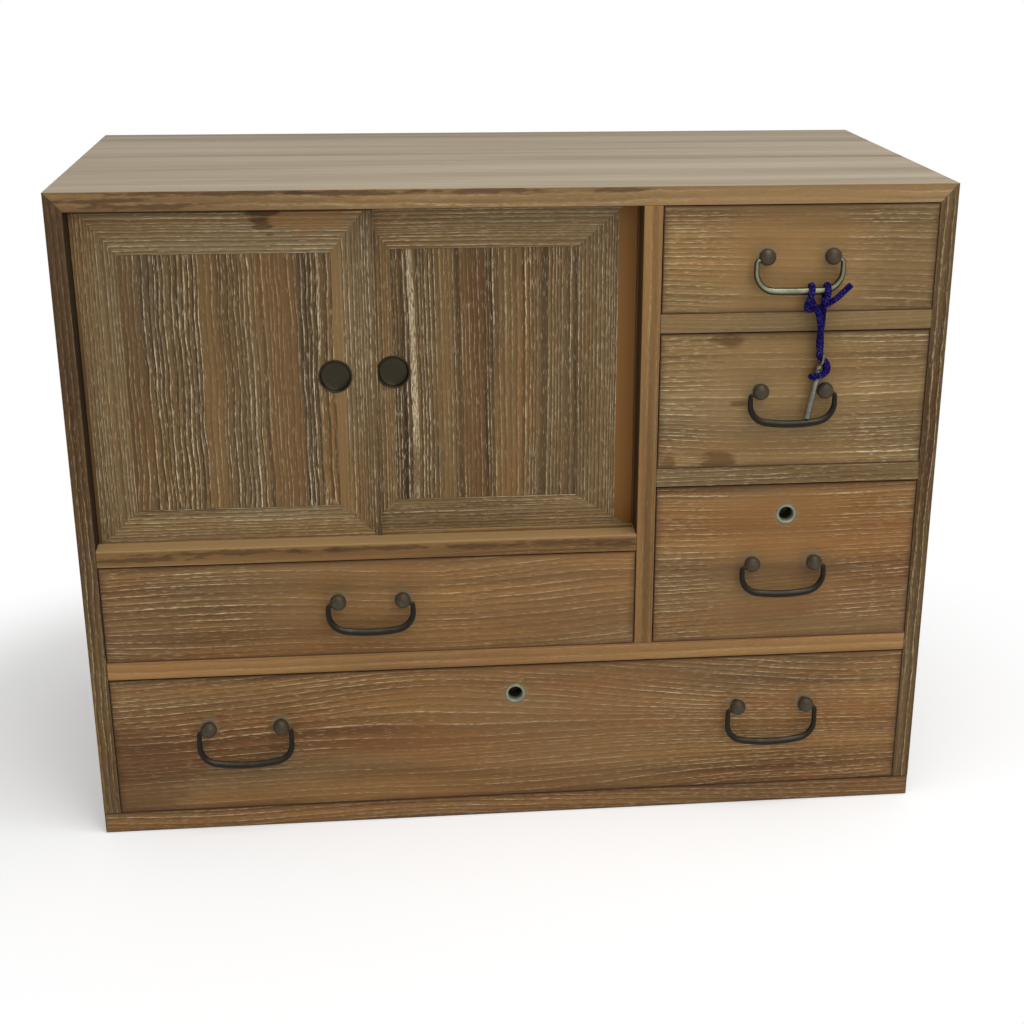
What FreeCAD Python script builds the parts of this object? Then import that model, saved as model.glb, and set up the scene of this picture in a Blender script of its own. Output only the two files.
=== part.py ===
"""A small tansu: a brushed wood chest with a sliding-door cupboard and five drawers.

The frame stands at the middle of the base, on the floor: +X to the right, the
front towards -Y, +Z up.  All lengths are in millimetres.  Every size is a cell
of the sheet "sizes", and each place below is an expression over those cells.
"""
import FreeCAD
import Part
import math
import os
import re

SIZES = {
    # The case
    "case_width": 760.0,
    "case_height": 586.0,
    "case_depth": 368.0,
    "top_thickness": 16.0,
    "side_thickness": 15.0,
    "bottom_thickness": 20.0,
    "partition_thickness": 16.5,
    "lower_shelf_thickness": 17.0,
    "right_shelf_thickness": 17.0,
    "sill_thickness": 15.5,
    "housing_depth": 5.0,
    "housing_stop": 12.0,
    "back_thickness": 7.0,
    "back_rebate": 7.0,
    # The openings in the front: shares of the clear height inside the case
    "right_opening_width": 239.0,
    "bottom_opening_share": 0.24364,
    "wide_opening_share": 0.16545,
    "upper_opening_share": 0.16818,
    "middle_opening_share": 0.22182,
    # The sliding doors
    "door_setback": 20.0,
    "door_thickness": 9.0,
    "door_gap": 2.0,
    "door_side_gap": 0.5,
    "door_seat": 0.3,
    "door_lap": 22.0,
    "door_head": 5.0,
    "groove_clearance": 0.5,
    "sill_groove_depth": 4.0,
    "top_groove_depth": 10.0,
    "stile_width": 36.0,
    "closing_stile_width": 52.0,
    "top_rail_width": 44.0,
    "bottom_rail_width": 33.0,
    "panel_inset": 2.0,
    "panel_gap": 0.2,
    "tongue_depth": 5.0,
    "tongue_thickness": 3.0,
    "tongue_setback": 3.0,
    # The round door pulls
    "pull_radius": 14.6,
    "pull_rim": 0.8,
    "pull_cup_radius": 12.6,
    "pull_cup_depth": 3.6,
    "pull_floor": 1.0,
    "pull_body_radius": 13.6,
    "pull_clearance": 0.3,
    "pull_height": 146.5,
    # The drawers
    "drawer_front_thickness": 18.0,
    "drawer_front_lap": 7.0,
    "drawer_side_thickness": 9.0,
    "drawer_back_thickness": 9.0,
    "drawer_bottom_thickness": 6.0,
    "drawer_side_gap": 0.7,
    "drawer_top_gap": 0.8,
    "drawer_seat": 0.3,
    "drawer_side_drop": 6.0,
    "stop_gap": 0.3,
    "stop_depth": 18.7,
    "stop_height": 8.0,
    "stop_width": 24.0,
    "stop_inset": 40.0,
    # The drawer handles
    "handle_spacing": 57.0,
    "large_handle_spacing": 64.5,
    "bail_drop": 28.2,
    "large_bail_drop": 35.6,
    "bail_radius": 2.6,
    "bail_neck_radius": 2.1,
    "bail_elbow": 2.4,
    "bail_corner": 12.0,
    "bail_side_gap": 0.2,
    "pin_radius": 1.9,
    "pin_length": 4.0,
    "pin_clearance": 0.05,
    "pin_end_gap": 0.3,
    "pin_drop": 2.8,
    "stud_radius": 6.6,
    "stud_standoff": 10.0,
    "stud_neck_radius": 4.2,
    "shank_radius": 2.0,
    "shank_clearance": 0.3,
    "clench_radius": 4.5,
    "clench_thickness": 1.5,
    "right_handle_shift": -2.7,
    "wide_handle_shift": -1.7,
    "bottom_handle_reach": 243.0,
    "bottom_handle_shift": -3.5,
    # The studs' heights: shares of the height of their drawers' openings
    "upper_handle_share": 0.5384,
    "middle_handle_share": 0.5836,
    "lower_handle_share": 0.5169,
    "wide_handle_share": 0.6044,
    "bottom_handle_share": 0.6418,
    # The drawer locks
    "lock_drop": 29.0,
    "ring_radius": 9.4,
    "keyhole_radius": 6.3,
    "ring_length": 6.0,
    "ring_proud": 0.4,
    "ring_clearance": 0.1,
    "lock_width": 46.0,
    "lock_depth": 12.0,
    "lock_below": 18.0,
    "lock_top_gap": 4.0,
    "lock_face": 3.0,
    "bolt_width": 24.0,
    "bolt_thickness": 5.0,
    "bolt_length": 30.0,
    "bolt_clearance": 0.3,
    "bolt_travel": 10.0,
    "strike_clearance": 2.6,
    # The key on its cord
    "cord_diameter": 5.0,
    "key_reach": 23.6,
    "key_ring_drop": 58.7,
    "key_ring_radius": 5.0,
    "key_ring_wire": 1.1,
    "key_radius": 2.9,
    "key_tip_gap": 2.4,
    "key_tilt": 11.0,
}
BACK_PLANKS = 3
CORNER_FINGERS = 5

# Places along X: the inner faces of the sides and both faces of the partition
LEFT = "(side_thickness - case_width / 2)"
RIGHT = "(case_width / 2 - side_thickness)"
COLUMN = f"({RIGHT} - right_opening_width)"
PARTITION = f"({COLUMN} - partition_thickness)"
# Places along Y: the front of the case, the inner face of the back and the drawers' backs
FRONT = "(-case_depth / 2)"
BACK = "(case_depth / 2 - back_thickness)"
DRAWER_END = f"({BACK} - stop_depth - stop_gap)"
# Places along Z, from the base up
CEILING = "(case_height - top_thickness)"
CLEAR_HEIGHT = f"({CEILING} - bottom_thickness)"
SHELF_UNDER = f"(bottom_thickness + bottom_opening_share * {CLEAR_HEIGHT})"
SHELF_TOP = f"({SHELF_UNDER} + lower_shelf_thickness)"
SILL_UNDER = f"({SHELF_TOP} + wide_opening_share * {CLEAR_HEIGHT})"
SILL_TOP = f"({SILL_UNDER} + sill_thickness)"
UPPER_FLOOR = f"({CEILING} - upper_opening_share * {CLEAR_HEIGHT})"
UPPER_UNDER = f"({UPPER_FLOOR} - right_shelf_thickness)"
MIDDLE_FLOOR = f"({UPPER_UNDER} - middle_opening_share * {CLEAR_HEIGHT})"
MIDDLE_UNDER = f"({MIDDLE_FLOOR} - right_shelf_thickness)"
# The two door tracks, as the places of the doors' front faces
FRONT_TRACK = f"({FRONT} + door_setback)"
REAR_TRACK = f"({FRONT_TRACK} + door_thickness + door_gap)"
# The plane of the bails' hinge pins
PIN_PLANE = f"({FRONT} - stud_standoff)"

# Turns that lay a part's own axes along the axes of the chest
ALONG = {
    "x": FreeCAD.Rotation(FreeCAD.Vector(0, 1, 0), 90),
    "y": FreeCAD.Rotation(FreeCAD.Vector(1, 0, 0), -90),
    "z": FreeCAD.Rotation(),
}
UPRIGHT = FreeCAD.Rotation(FreeCAD.Vector(1, 1, 1), -120)
LEVEL = FreeCAD.Rotation(FreeCAD.Vector(1, 0, 0), 90)
SIZE_NAME = re.compile(r"[a-z_]+")

doc = FreeCAD.newDocument("tansu")
sheet = doc.addObject("Spreadsheet::Sheet", "sizes")
for row, (size_name, size_value) in enumerate(SIZES.items(), start=1):
    sheet.set(f"A{row}", str(size_value))
    sheet.setAlias(f"A{row}", size_name)
doc.recompute()
pieces = []


def bind(text):
    """Return an expression with each size's name pointing at its cell."""
    return SIZE_NAME.sub(lambda match: f"sizes.{match[0]}" if match[0] in SIZES else match[0], text)


def value(text):
    """Return the number that an expression over the sizes stands for."""
    return float(sheet.evalExpression(bind(text)))


def keep(label, shape_object):
    """Name a finished sub-part; its label names its file."""
    shape_object.Label = label
    pieces.append(shape_object)
    return shape_object


def set_sizes(part, **sizes):
    """Bind properties of a part to expressions over the sizes."""
    for name, text in sizes.items():
        part.setExpression(name, bind(text))


def set_place(part, place, turn=None):
    """Turn a part and bind its place to three expressions."""
    part.Placement.Rotation = turn or FreeCAD.Rotation()
    for axis, text in zip("xyz", place):
        part.setExpression(f"Placement.Base.{axis}", bind(text))


def box(x, y, z):
    """Return a board between the low and high expressions of each axis."""
    part = doc.addObject("Part::Box", "board")
    spans = dict(zip(("Length", "Width", "Height"), (x, y, z)))
    set_sizes(part, **{name: f"({high}) - ({low})" for name, (low, high) in spans.items()})
    set_place(part, (x[0], y[0], z[0]))
    return part


def mitred_upright(x, y, low_side_z, high_side_z):
    """Return an upright board whose ends slope between its two X faces."""
    part = doc.addObject("Part::Wedge", "upright")
    part.Placement.Rotation = UPRIGHT
    set_sizes(part, Ymin=x[0], Ymax=x[1], Zmin=y[0], Zmax=y[1], Z2min=y[0], Z2max=y[1],
              Xmin=low_side_z[0], Xmax=low_side_z[1], X2min=high_side_z[0], X2max=high_side_z[1])
    return part


def mitred_level(low_side_x, high_side_x, y, z):
    """Return a level board whose ends slope between its two Z faces."""
    part = doc.addObject("Part::Wedge", "level_board")
    part.Placement.Rotation = LEVEL
    near, far = f"-({y[1]})", f"-({y[0]})"
    set_sizes(part, Ymin=z[0], Ymax=z[1], Zmin=near, Zmax=far, Z2min=near, Z2max=far,
              Xmin=low_side_x[0], Xmax=low_side_x[1], X2min=high_side_x[0], X2max=high_side_x[1])
    return part


def rod(axis, start, length, radius):
    """Return a round rod that runs along an axis from its start."""
    part = doc.addObject("Part::Cylinder", "rod")
    set_sizes(part, Radius=radius, Height=length)
    set_place(part, start, ALONG[axis])
    return part


def bend(centre, radius, rod_radius, first_angle):
    """Return a quarter bend of round rod in the XZ plane, counted from +X towards +Z."""
    part = doc.addObject("Part::Torus", "bend")
    set_sizes(part, Radius1=radius, Radius2=rod_radius)
    part.Angle3 = 90
    turn = LEVEL.multiply(FreeCAD.Rotation(FreeCAD.Vector(0, 0, 1), first_angle))
    set_place(part, centre, turn)
    return part


def fuse(*parts):
    """Return one solid made of parts that touch."""
    joined = doc.addObject("Part::MultiFuse", "joined")
    joined.Shapes = parts
    return joined


def group(*parts):
    """Return a group of separate solids."""
    gathered = doc.addObject("Part::Compound", "group")
    gathered.Links = parts
    return gathered


def cut(base, *tools):
    """Return a part with the tools cut out of it."""
    result = doc.addObject("Part::Cut", "cut")
    result.Base = base
    result.Tool = tools[0] if len(tools) == 1 else group(*tools)
    return result


def finger_notches(x, first):
    """Return the slots that a corner's fingers take, every second one from the first."""
    slots = []
    for index in range(first, CORNER_FINGERS, 2):
        low = f"{FRONT} + case_depth * {index} / {CORNER_FINGERS}"
        high = f"{FRONT} + case_depth * {index + 1} / {CORNER_FINGERS}"
        slots.append(box(x, (low, high), ("0", "bottom_thickness")))
    return slots


def shelf_tongue(name):
    """Return a shelf's inner depth, long enough for its ends to fill stopped housings."""
    x, z = SHELVES[name]
    return box((f"{x[0]} - housing_depth", f"{x[1]} + housing_depth"), (f"{FRONT} + housing_stop", BACK), z)


def shelf_board(name):
    """Return a full-depth shelf whose ends sit in housings that don't show in front."""
    x, z = SHELVES[name]
    return fuse(box(x, (FRONT, BACK), z), shelf_tongue(name))


def partition_tongue():
    """Return the partition's inner depth, tall enough for its ends to fill stopped housings."""
    z = (f"{SHELF_TOP} - housing_depth", f"{CEILING} + housing_depth")
    return box((PARTITION, COLUMN), (f"{FRONT} + housing_stop", BACK), z)


def track_grooves(z):
    """Return the two grooves that guide the doors, at the given height."""
    grooves = []
    for track in (FRONT_TRACK, REAR_TRACK):
        y = (f"{track} - groove_clearance", f"{track} + door_thickness + groove_clearance")
        grooves.append(box((LEFT, PARTITION), y, z))
    return grooves


def strike(lock_x, under):
    """Return the mortise in a shelf that a lock's bolt rises into."""
    half = "(bolt_width / 2 + strike_clearance)"
    y_low = f"{FRONT} + drawer_front_thickness + lock_face"
    y = (f"{y_low} - strike_clearance", f"{y_low} + bolt_thickness + strike_clearance")
    depth = "bolt_travel - lock_top_gap + strike_clearance"
    return box((f"{lock_x} - {half}", f"{lock_x} + {half}"), y, (under, f"{under} + {depth}"))


# The shelves: the faces that they run between along X, and their undersides and tops
SHELVES = {
    "lower_shelf": ((LEFT, RIGHT), (SHELF_UNDER, SHELF_TOP)),
    "cupboard_shelf": ((LEFT, PARTITION), (SILL_UNDER, SILL_TOP)),
    "lower_right_shelf": ((COLUMN, RIGHT), (MIDDLE_UNDER, MIDDLE_FLOOR)),
    "upper_right_shelf": ((COLUMN, RIGHT), (UPPER_UNDER, UPPER_FLOOR)),
}
COLUMN_CENTRE = f"({COLUMN} + right_opening_width / 2)"


def make_case():
    """Make the boards of the case, its back and the drawer stops."""
    outer = ("-case_width / 2", "case_width / 2")
    deep = (FRONT, "case_depth / 2")
    back_span = (
        (f"{LEFT} - back_rebate", f"{RIGHT} + back_rebate"), (BACK, "case_depth / 2"),
        ("bottom_thickness - back_rebate", f"{CEILING} + back_rebate"),
    )
    top = mitred_level((LEFT, RIGHT), outer, deep, (CEILING, "case_height"))
    keep("top_board", cut(top, *track_grooves((CEILING, f"{CEILING} + top_groove_depth")),
                          partition_tongue(), box(*back_span)))
    left_end = (outer[0], LEFT)
    right_end = (RIGHT, outer[1])
    bottom = box(outer, deep, ("0", "bottom_thickness"))
    keep("bottom_board", cut(bottom, *finger_notches(left_end, 1), *finger_notches(right_end, 1),
                             box(*back_span)))
    tall, short = ("0", "case_height"), ("0", CEILING)
    left = mitred_upright(left_end, deep, tall, short)
    housings = [shelf_tongue(name) for name in ("lower_shelf", "cupboard_shelf")]
    keep("left_side_board", cut(left, *finger_notches(left_end, 0), box(*back_span), *housings))
    right = mitred_upright(right_end, deep, short, tall)
    housings = [shelf_tongue(name) for name in ("lower_shelf", "lower_right_shelf", "upper_right_shelf")]
    keep("right_side_board", cut(right, *finger_notches(right_end, 0), box(*back_span), *housings))
    housings = [shelf_tongue(name) for name in ("cupboard_shelf", "lower_right_shelf", "upper_right_shelf")]
    partition = fuse(box((PARTITION, COLUMN), (FRONT, BACK), (SHELF_TOP, CEILING)), partition_tongue())
    keep("centre_partition", cut(partition, *housings))
    keep("lower_shelf", cut(shelf_board("lower_shelf"), partition_tongue(), strike("0", SHELF_UNDER)))
    keep("cupboard_shelf", cut(shelf_board("cupboard_shelf"),
                               *track_grooves((f"{SILL_TOP} - sill_groove_depth", SILL_TOP))))
    keep("lower_right_shelf", cut(shelf_board("lower_right_shelf"), strike(COLUMN_CENTRE, MIDDLE_UNDER)))
    keep("upper_right_shelf", shelf_board("upper_right_shelf"))
    low, high = back_span[2]
    planks = []
    for index in range(BACK_PLANKS):
        ends = [f"{low} + ({high} - ({low})) * {step} / {BACK_PLANKS}" for step in (index, index + 1)]
        planks.append(box(back_span[0], back_span[1], ends))
    keep("back_boards", group(*planks))
    blocks = []
    for x, z in OPENINGS.values():
        for start in (f"{x[0]} + stop_inset", f"{x[1]} - stop_inset - stop_width"):
            blocks.append(box((start, f"{start} + stop_width"),
                              (f"{DRAWER_END} + stop_gap", BACK),
                              (z[0], f"{z[0]} + stop_height")))
    keep("drawer_stops", group(*blocks))


# The drawers' openings: the low and high ends along X and along Z
OPENINGS = {
    "upper": ((COLUMN, RIGHT), (UPPER_FLOOR, CEILING)),
    "middle": ((COLUMN, RIGHT), (MIDDLE_FLOOR, UPPER_UNDER)),
    "lower": ((COLUMN, RIGHT), (SHELF_TOP, MIDDLE_UNDER)),
    "wide": ((LEFT, PARTITION), (SHELF_TOP, SILL_UNDER)),
    "bottom": ((LEFT, RIGHT), ("bottom_thickness", SHELF_UNDER)),
}
WIDE_CENTRE = f"(({LEFT} + {PARTITION}) / 2)"
# Each handle: its drawer, the middle of its studs along X, its spacing and its drop
HANDLES = {
    "upper_bail": ("upper", f"{COLUMN_CENTRE} + right_handle_shift", "handle_spacing", "bail_drop"),
    "middle_bail": ("middle", f"{COLUMN_CENTRE} + right_handle_shift", "handle_spacing", "bail_drop"),
    "lower_bail": ("lower", f"{COLUMN_CENTRE} + right_handle_shift", "handle_spacing", "bail_drop"),
    "wide_bail": ("wide", f"{WIDE_CENTRE} + wide_handle_shift", "handle_spacing", "bail_drop"),
    "bottom_left_bail": ("bottom", "bottom_handle_shift - bottom_handle_reach", "large_handle_spacing",
                         "large_bail_drop"),
    "bottom_right_bail": ("bottom", "bottom_handle_shift + bottom_handle_reach", "large_handle_spacing",
                          "large_bail_drop"),
}
# Each lock: its drawer and the middle of its keyhole along X
LOCKS = {"lower": COLUMN_CENTRE, "bottom": "0"}


def stud_height(drawer):
    """Return the height of the studs of a drawer's handles."""
    low, high = OPENINGS[drawer][1]
    return f"({low} + {drawer}_handle_share * ({high} - {low}))"


def pin_height(drawer):
    """Return the height of the hinge pins, which turn in the lower half of the studs."""
    return f"({stud_height(drawer)} - pin_drop)"


def grip_height(name):
    """Return the height of a hanging bail's grip."""
    drawer, middle, spacing, drop = HANDLES[name]
    return f"({pin_height(drawer)} - {drop})"


def keyhole_height(drawer):
    """Return the height of a drawer's keyhole."""
    return f"({OPENINGS[drawer][1][1]} - lock_drop)"


def stud_places(drawer):
    """Yield each stud's place along X and the side that its bail enters from."""
    for name, (owner, middle, spacing, drop) in HANDLES.items():
        if owner == drawer:
            for side in (-1, 1):
                yield f"{middle} + {side} * {spacing} / 2", side


def make_drawer(drawer):
    """Make a drawer's front, sides, back and bottom."""
    (x_low, x_high), (z_low, z_high) = OPENINGS[drawer]
    x = (f"{x_low} + drawer_side_gap", f"{x_high} - drawer_side_gap")
    z = (f"{z_low} + drawer_seat", f"{z_high} - drawer_top_gap")
    floor = f"{z[0]} + drawer_bottom_thickness"
    walls = (floor, f"{z[1]} - drawer_side_drop")
    lap = f"{FRONT} + drawer_front_lap"
    front_back = f"{FRONT} + drawer_front_thickness"
    left = (x[0], f"{x[0]} + drawer_side_thickness")
    right = (f"{x[1]} - drawer_side_thickness", x[1])
    tools = [box(side, (lap, front_back), z) for side in (left, right)]
    tools.append(box(x, (lap, front_back), (z[0], floor)))
    for stud_x, side in stud_places(drawer):
        tools.append(rod("y", (stud_x, FRONT, stud_height(drawer)), "drawer_front_thickness",
                         "shank_radius + shank_clearance"))
    if drawer in LOCKS:
        keyhole = (LOCKS[drawer], FRONT, keyhole_height(drawer))
        tools.append(rod("y", keyhole, "drawer_front_thickness", "keyhole_radius"))
        tools.append(rod("y", keyhole, "ring_length", "ring_radius + ring_clearance"))
    keep(f"{drawer}_drawer_front", cut(box(x, (FRONT, front_back), z), *tools))
    keep(f"{drawer}_drawer_sides", group(*[box(side, (lap, DRAWER_END), walls)
                                           for side in (left, right)]))
    keep(f"{drawer}_drawer_back", box((left[1], right[0]),
                                      (f"{DRAWER_END} - drawer_back_thickness", DRAWER_END), walls))
    keep(f"{drawer}_drawer_bottom", box(x, (lap, DRAWER_END), (z[0], floor)))


def make_studs(drawer):
    """Make the ball-headed studs of a drawer, clenched behind its front."""
    studs = []
    height = stud_height(drawer)
    for stud_x, side in stud_places(drawer):
        head = doc.addObject("Part::Sphere", "head")
        set_sizes(head, Radius="stud_radius")
        set_place(head, (stud_x, PIN_PLANE, height))
        neck = rod("y", (stud_x, PIN_PLANE, height), "stud_standoff", "stud_neck_radius")
        shank = rod("y", (stud_x, FRONT, height), "drawer_front_thickness", "shank_radius")
        behind = f"{FRONT} + drawer_front_thickness"
        clench = rod("y", (stud_x, behind, height), "clench_thickness", "clench_radius")
        depth = "pin_length + pin_end_gap"
        inner = "stud_radius - pin_length - pin_end_gap"
        start = f"{stud_x} + {inner}" if side > 0 else f"{stud_x} - stud_radius"
        socket = rod("x", (start, PIN_PLANE, pin_height(drawer)), depth, "pin_radius + pin_clearance")
        studs.append(cut(fuse(head, neck, shank, clench), socket))
    keep(f"{drawer}_studs", group(*studs))


def make_bail(name):
    """Make a bail: a bent rod whose thinner ends turn in the studs."""
    drawer, middle, spacing, drop = HANDLES[name]
    top = pin_height(drawer)
    shoulder = f"({spacing} / 2 + stud_radius + bail_side_gap)"
    leg = f"({shoulder} + bail_elbow)"
    low = grip_height(name)
    bars = []
    for side, elbow_angle, corner_angle in ((1, 0, 270), (-1, 90, 180)):
        pin_run = "pin_length + bail_side_gap"
        start = f"{shoulder} - pin_length - bail_side_gap" if side > 0 else f"-{shoulder}"
        bars.append(rod("x", (f"{middle} + {start}", PIN_PLANE, top), pin_run, "pin_radius"))
        elbow = (f"{middle} + {side} * {shoulder}", PIN_PLANE, f"{top} - bail_elbow")
        bars.append(bend(elbow, "bail_elbow", "bail_neck_radius", elbow_angle))
        leg_bar = doc.addObject("Part::Cone", "leg")
        set_sizes(leg_bar, Radius1="bail_radius", Radius2="bail_neck_radius",
                  Height=f"{drop} - bail_elbow - bail_corner")
        set_place(leg_bar, (f"{middle} + {side} * {leg}", PIN_PLANE, f"{low} + bail_corner"))
        bars.append(leg_bar)
        corner = (f"{middle} + {side} * ({leg} - bail_corner)", PIN_PLANE, f"{low} + bail_corner")
        bars.append(bend(corner, "bail_corner", "bail_radius", corner_angle))
    grip = (f"{middle} - {leg} + bail_corner", PIN_PLANE, low)
    bars.append(rod("x", grip, f"2 * ({leg} - bail_corner)", "bail_radius"))
    keep(name, fuse(*bars))


def make_lock(drawer):
    """Make a drawer's keyhole ring, lock case and rising bolt."""
    middle = LOCKS[drawer]
    height = keyhole_height(drawer)
    ring_start = (middle, f"{FRONT} - ring_proud", height)
    ring = rod("y", ring_start, "ring_length + ring_proud", "ring_radius")
    keep(f"{drawer}_keyhole_ring", cut(ring, rod("y", ring_start, "ring_length + ring_proud",
                                                 "keyhole_radius")))
    behind = f"{FRONT} + drawer_front_thickness"
    case_top = f"({OPENINGS[drawer][1][1]} - lock_top_gap)"
    case = box((f"{middle} - lock_width / 2", f"{middle} + lock_width / 2"),
               (behind, f"{behind} + lock_depth"), (f"{height} - lock_below", case_top))
    face = f"{behind} + lock_face"
    bolt_x = (f"{middle} - bolt_width / 2", f"{middle} + bolt_width / 2")
    bolt_z = (f"{case_top} - bolt_length", case_top)
    slot = box((f"{bolt_x[0]} - bolt_clearance", f"{bolt_x[1]} + bolt_clearance"),
               (f"{face} - bolt_clearance", f"{face} + bolt_thickness + bolt_clearance"),
               (f"{bolt_z[0]} - bolt_clearance", case_top))
    keyway = rod("y", (middle, behind, height), "lock_face", "keyhole_radius")
    keep(f"{drawer}_lock_case", cut(case, slot, keyway))
    keep(f"{drawer}_lock_bolt", box(bolt_x, (face, f"{face} + bolt_thickness"), bolt_z))


def make_door(name, x, track, stiles, pull_x):
    """Make a door: mitred stiles and rails, a flush panel in their grooves and a cup pull."""
    y = (track, f"{track} + door_thickness")
    z = (f"{SILL_TOP} - sill_groove_depth + door_seat", f"{CEILING} + door_head")
    inner_x = (f"({x[0]} + {stiles[0]})", f"({x[1]} - {stiles[1]})")
    inner_z = (f"({z[0]} + bottom_rail_width)", f"({z[1]} - top_rail_width)")
    groove_y = (f"{track} + tongue_setback - panel_gap",
                f"{track} + tongue_setback + tongue_thickness + panel_gap")
    groove = box([f"{inner_x[0]} - tongue_depth - panel_gap", f"{inner_x[1]} + tongue_depth + panel_gap"],
                 groove_y, [f"{inner_z[0]} - tongue_depth - panel_gap",
                            f"{inner_z[1]} + tongue_depth + panel_gap"])
    pull_place = (pull_x, track, f"{SILL_TOP} + pull_height")
    seat = rod("y", pull_place, "pull_cup_depth + pull_floor - pull_rim + pull_clearance",
               "pull_body_radius + pull_clearance")
    left_stile = mitred_upright((x[0], inner_x[0]), y, z, inner_z)
    right_stile = mitred_upright((inner_x[1], x[1]), y, inner_z, z)
    keep(f"{name}_stiles", group(cut(left_stile, groove, seat), cut(right_stile, groove, seat)))
    bottom_rail = mitred_level(x, inner_x, y, (z[0], inner_z[0]))
    top_rail = mitred_level(inner_x, x, y, (inner_z[1], z[1]))
    keep(f"{name}_rails", group(cut(bottom_rail, groove), cut(top_rail, groove)))
    field = box((f"{inner_x[0]} + panel_gap", f"{inner_x[1]} - panel_gap"),
                (track, f"{track} + door_thickness - panel_inset"),
                (f"{inner_z[0]} + panel_gap", f"{inner_z[1]} - panel_gap"))
    tongue = box((f"{inner_x[0]} - tongue_depth", f"{inner_x[1]} + tongue_depth"),
                 (f"{track} + tongue_setback", f"{track} + tongue_setback + tongue_thickness"),
                 (f"{inner_z[0]} - tongue_depth", f"{inner_z[1]} + tongue_depth"))
    keep(f"{name}_panel", cut(fuse(field, tongue), seat))
    rim_start = (pull_x, f"{track} - pull_rim", pull_place[2])
    rim = rod("y", rim_start, "pull_rim", "pull_radius")
    body = rod("y", rim_start, "pull_cup_depth + pull_floor", "pull_body_radius")
    cup = rod("y", rim_start, "pull_cup_depth", "pull_cup_radius")
    keep(f"{name}_pull", cut(fuse(rim, body), cup))


def make_doors():
    """Make the left door in the front track and the right door in the rear track."""
    width = f"(({PARTITION} - {LEFT} + door_lap) / 2 - door_side_gap)"
    left_x = (f"({LEFT} + door_side_gap)", f"({LEFT} + door_side_gap + {width})")
    right_x = (f"({PARTITION} - door_side_gap - {width})", f"({PARTITION} - door_side_gap)")
    make_door("left_door", left_x, FRONT_TRACK, ("stile_width", "stile_width"),
              f"{left_x[1]} - stile_width")
    make_door("right_door", right_x, REAR_TRACK, ("stile_width", "closing_stile_width"),
              f"{right_x[0]} + stile_width")


# The cord's route from the middle of the upper bail's grip, in millimetres: from the
# free tail behind the hitch, over the grip on the left, down through the key's ring and
# round its rod, up again, over the grip on the right and into the middle of the hitch
CORD_ROUTE = (
    (43.5, -6.5, 7.5), (37.0, -5.8, 0.8), (31.0, -4.4, -5.2), (25.0, -2.0, -10.0), (20.0, 0.6, -13.0),
    (14.4, 3.6, -14.6), (8.4, 2.0, -15.6), (6.0, -4.2, -12.4), (8.0, -6.8, -4.8), (10.4, -6.0, 1.5),
    (11.0, -3.0, 6.2), (11.2, 3.0, 6.2), (11.8, 6.0, 1.5), (12.2, 5.4, -5.4), (12.6, -1.0, -9.4),
    (15.8, -5.8, -15.0), (18.8, -5.8, -27.0), (20.2, -5.8, -40.0), (20.4, -5.4, -48.0), (18.4, -2.4, -56.4),
    (29.2, 1.4, -61.6), (29.6, -4.8, -67.4), (24.4, -7.4, -71.8), (17.6, -6.6, -72.4), (14.2, -1.6, -71.8),
    (16.6, 5.0, -70.4), (22.4, 7.0, -67.0), (27.6, 6.8, -61.5), (27.0, 6.4, -54.6), (23.6, 5.2, -48.0),
    (22.8, 3.4, -40.0), (23.4, 1.6, -27.0),
    (24.2, 3.8, -16.0), (24.6, 6.2, -7.0), (24.8, 6.0, 1.5), (24.8, 3.0, 6.2), (24.8, -3.0, 6.2),
    (24.6, -6.0, 1.5), (23.6, -6.4, -3.6), (20.4, -5.2, -7.6),
)
CORNER_SHARE = 0.45


def rounded_route(points):
    """Return a wire of straight runs joined by tangent arcs, and the arcs' radii."""
    edges, radii = [], []
    last = points[0]
    for before, point, after in zip(points, points[1:], points[2:]):
        into, out = before - point, after - point
        reach = CORNER_SHARE * min(into.Length, out.Length)
        turn = math.pi - into.getAngle(out)
        radii.append(reach / math.tan(turn / 2))
        into.normalize()
        out.normalize()
        start, end = point + into * reach, point + out * reach
        towards = (into + out).normalize()
        bulge = radii[-1] / math.cos(turn / 2) - radii[-1]
        edges.append(Part.LineSegment(last, start).toShape())
        edges.append(Part.Arc(start, point + towards * bulge, end).toShape())
        last = end
    edges.append(Part.LineSegment(last, points[-1]).toShape())
    return Part.Wire(edges), radii


def tube(wire, radius):
    """Return the round tube along a wire."""
    start = wire.Edges[0].Vertexes[0].Point
    circle = Part.Circle(start, wire.Edges[0].tangentAt(wire.Edges[0].FirstParameter), radius)
    solid = wire.makePipeShell([Part.Wire(circle.toShape())], True, False)
    expected = math.pi * radius ** 2 * wire.Length
    print(f"cord run {wire.Length:.1f} mm, volume over section times length {solid.Volume / expected:.4f}")
    return solid


def make_cord():
    """Make the cord: a hitch round the upper bail's grip, a free tail and a doubled strand."""
    grip = FreeCAD.Vector(value(HANDLES["upper_bail"][1]), value(PIN_PLANE), value(grip_height("upper_bail")))
    wire, radii = rounded_route([grip + FreeCAD.Vector(*point) for point in CORD_ROUTE])
    print("cord bend radii:", ", ".join(f"{bend_radius:.1f}" for bend_radius in radii))
    cord = doc.addObject("Part::Feature", "cord")
    cord.Shape = tube(wire, value("cord_diameter / 2"))
    keep("key_cord", cord)


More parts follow.
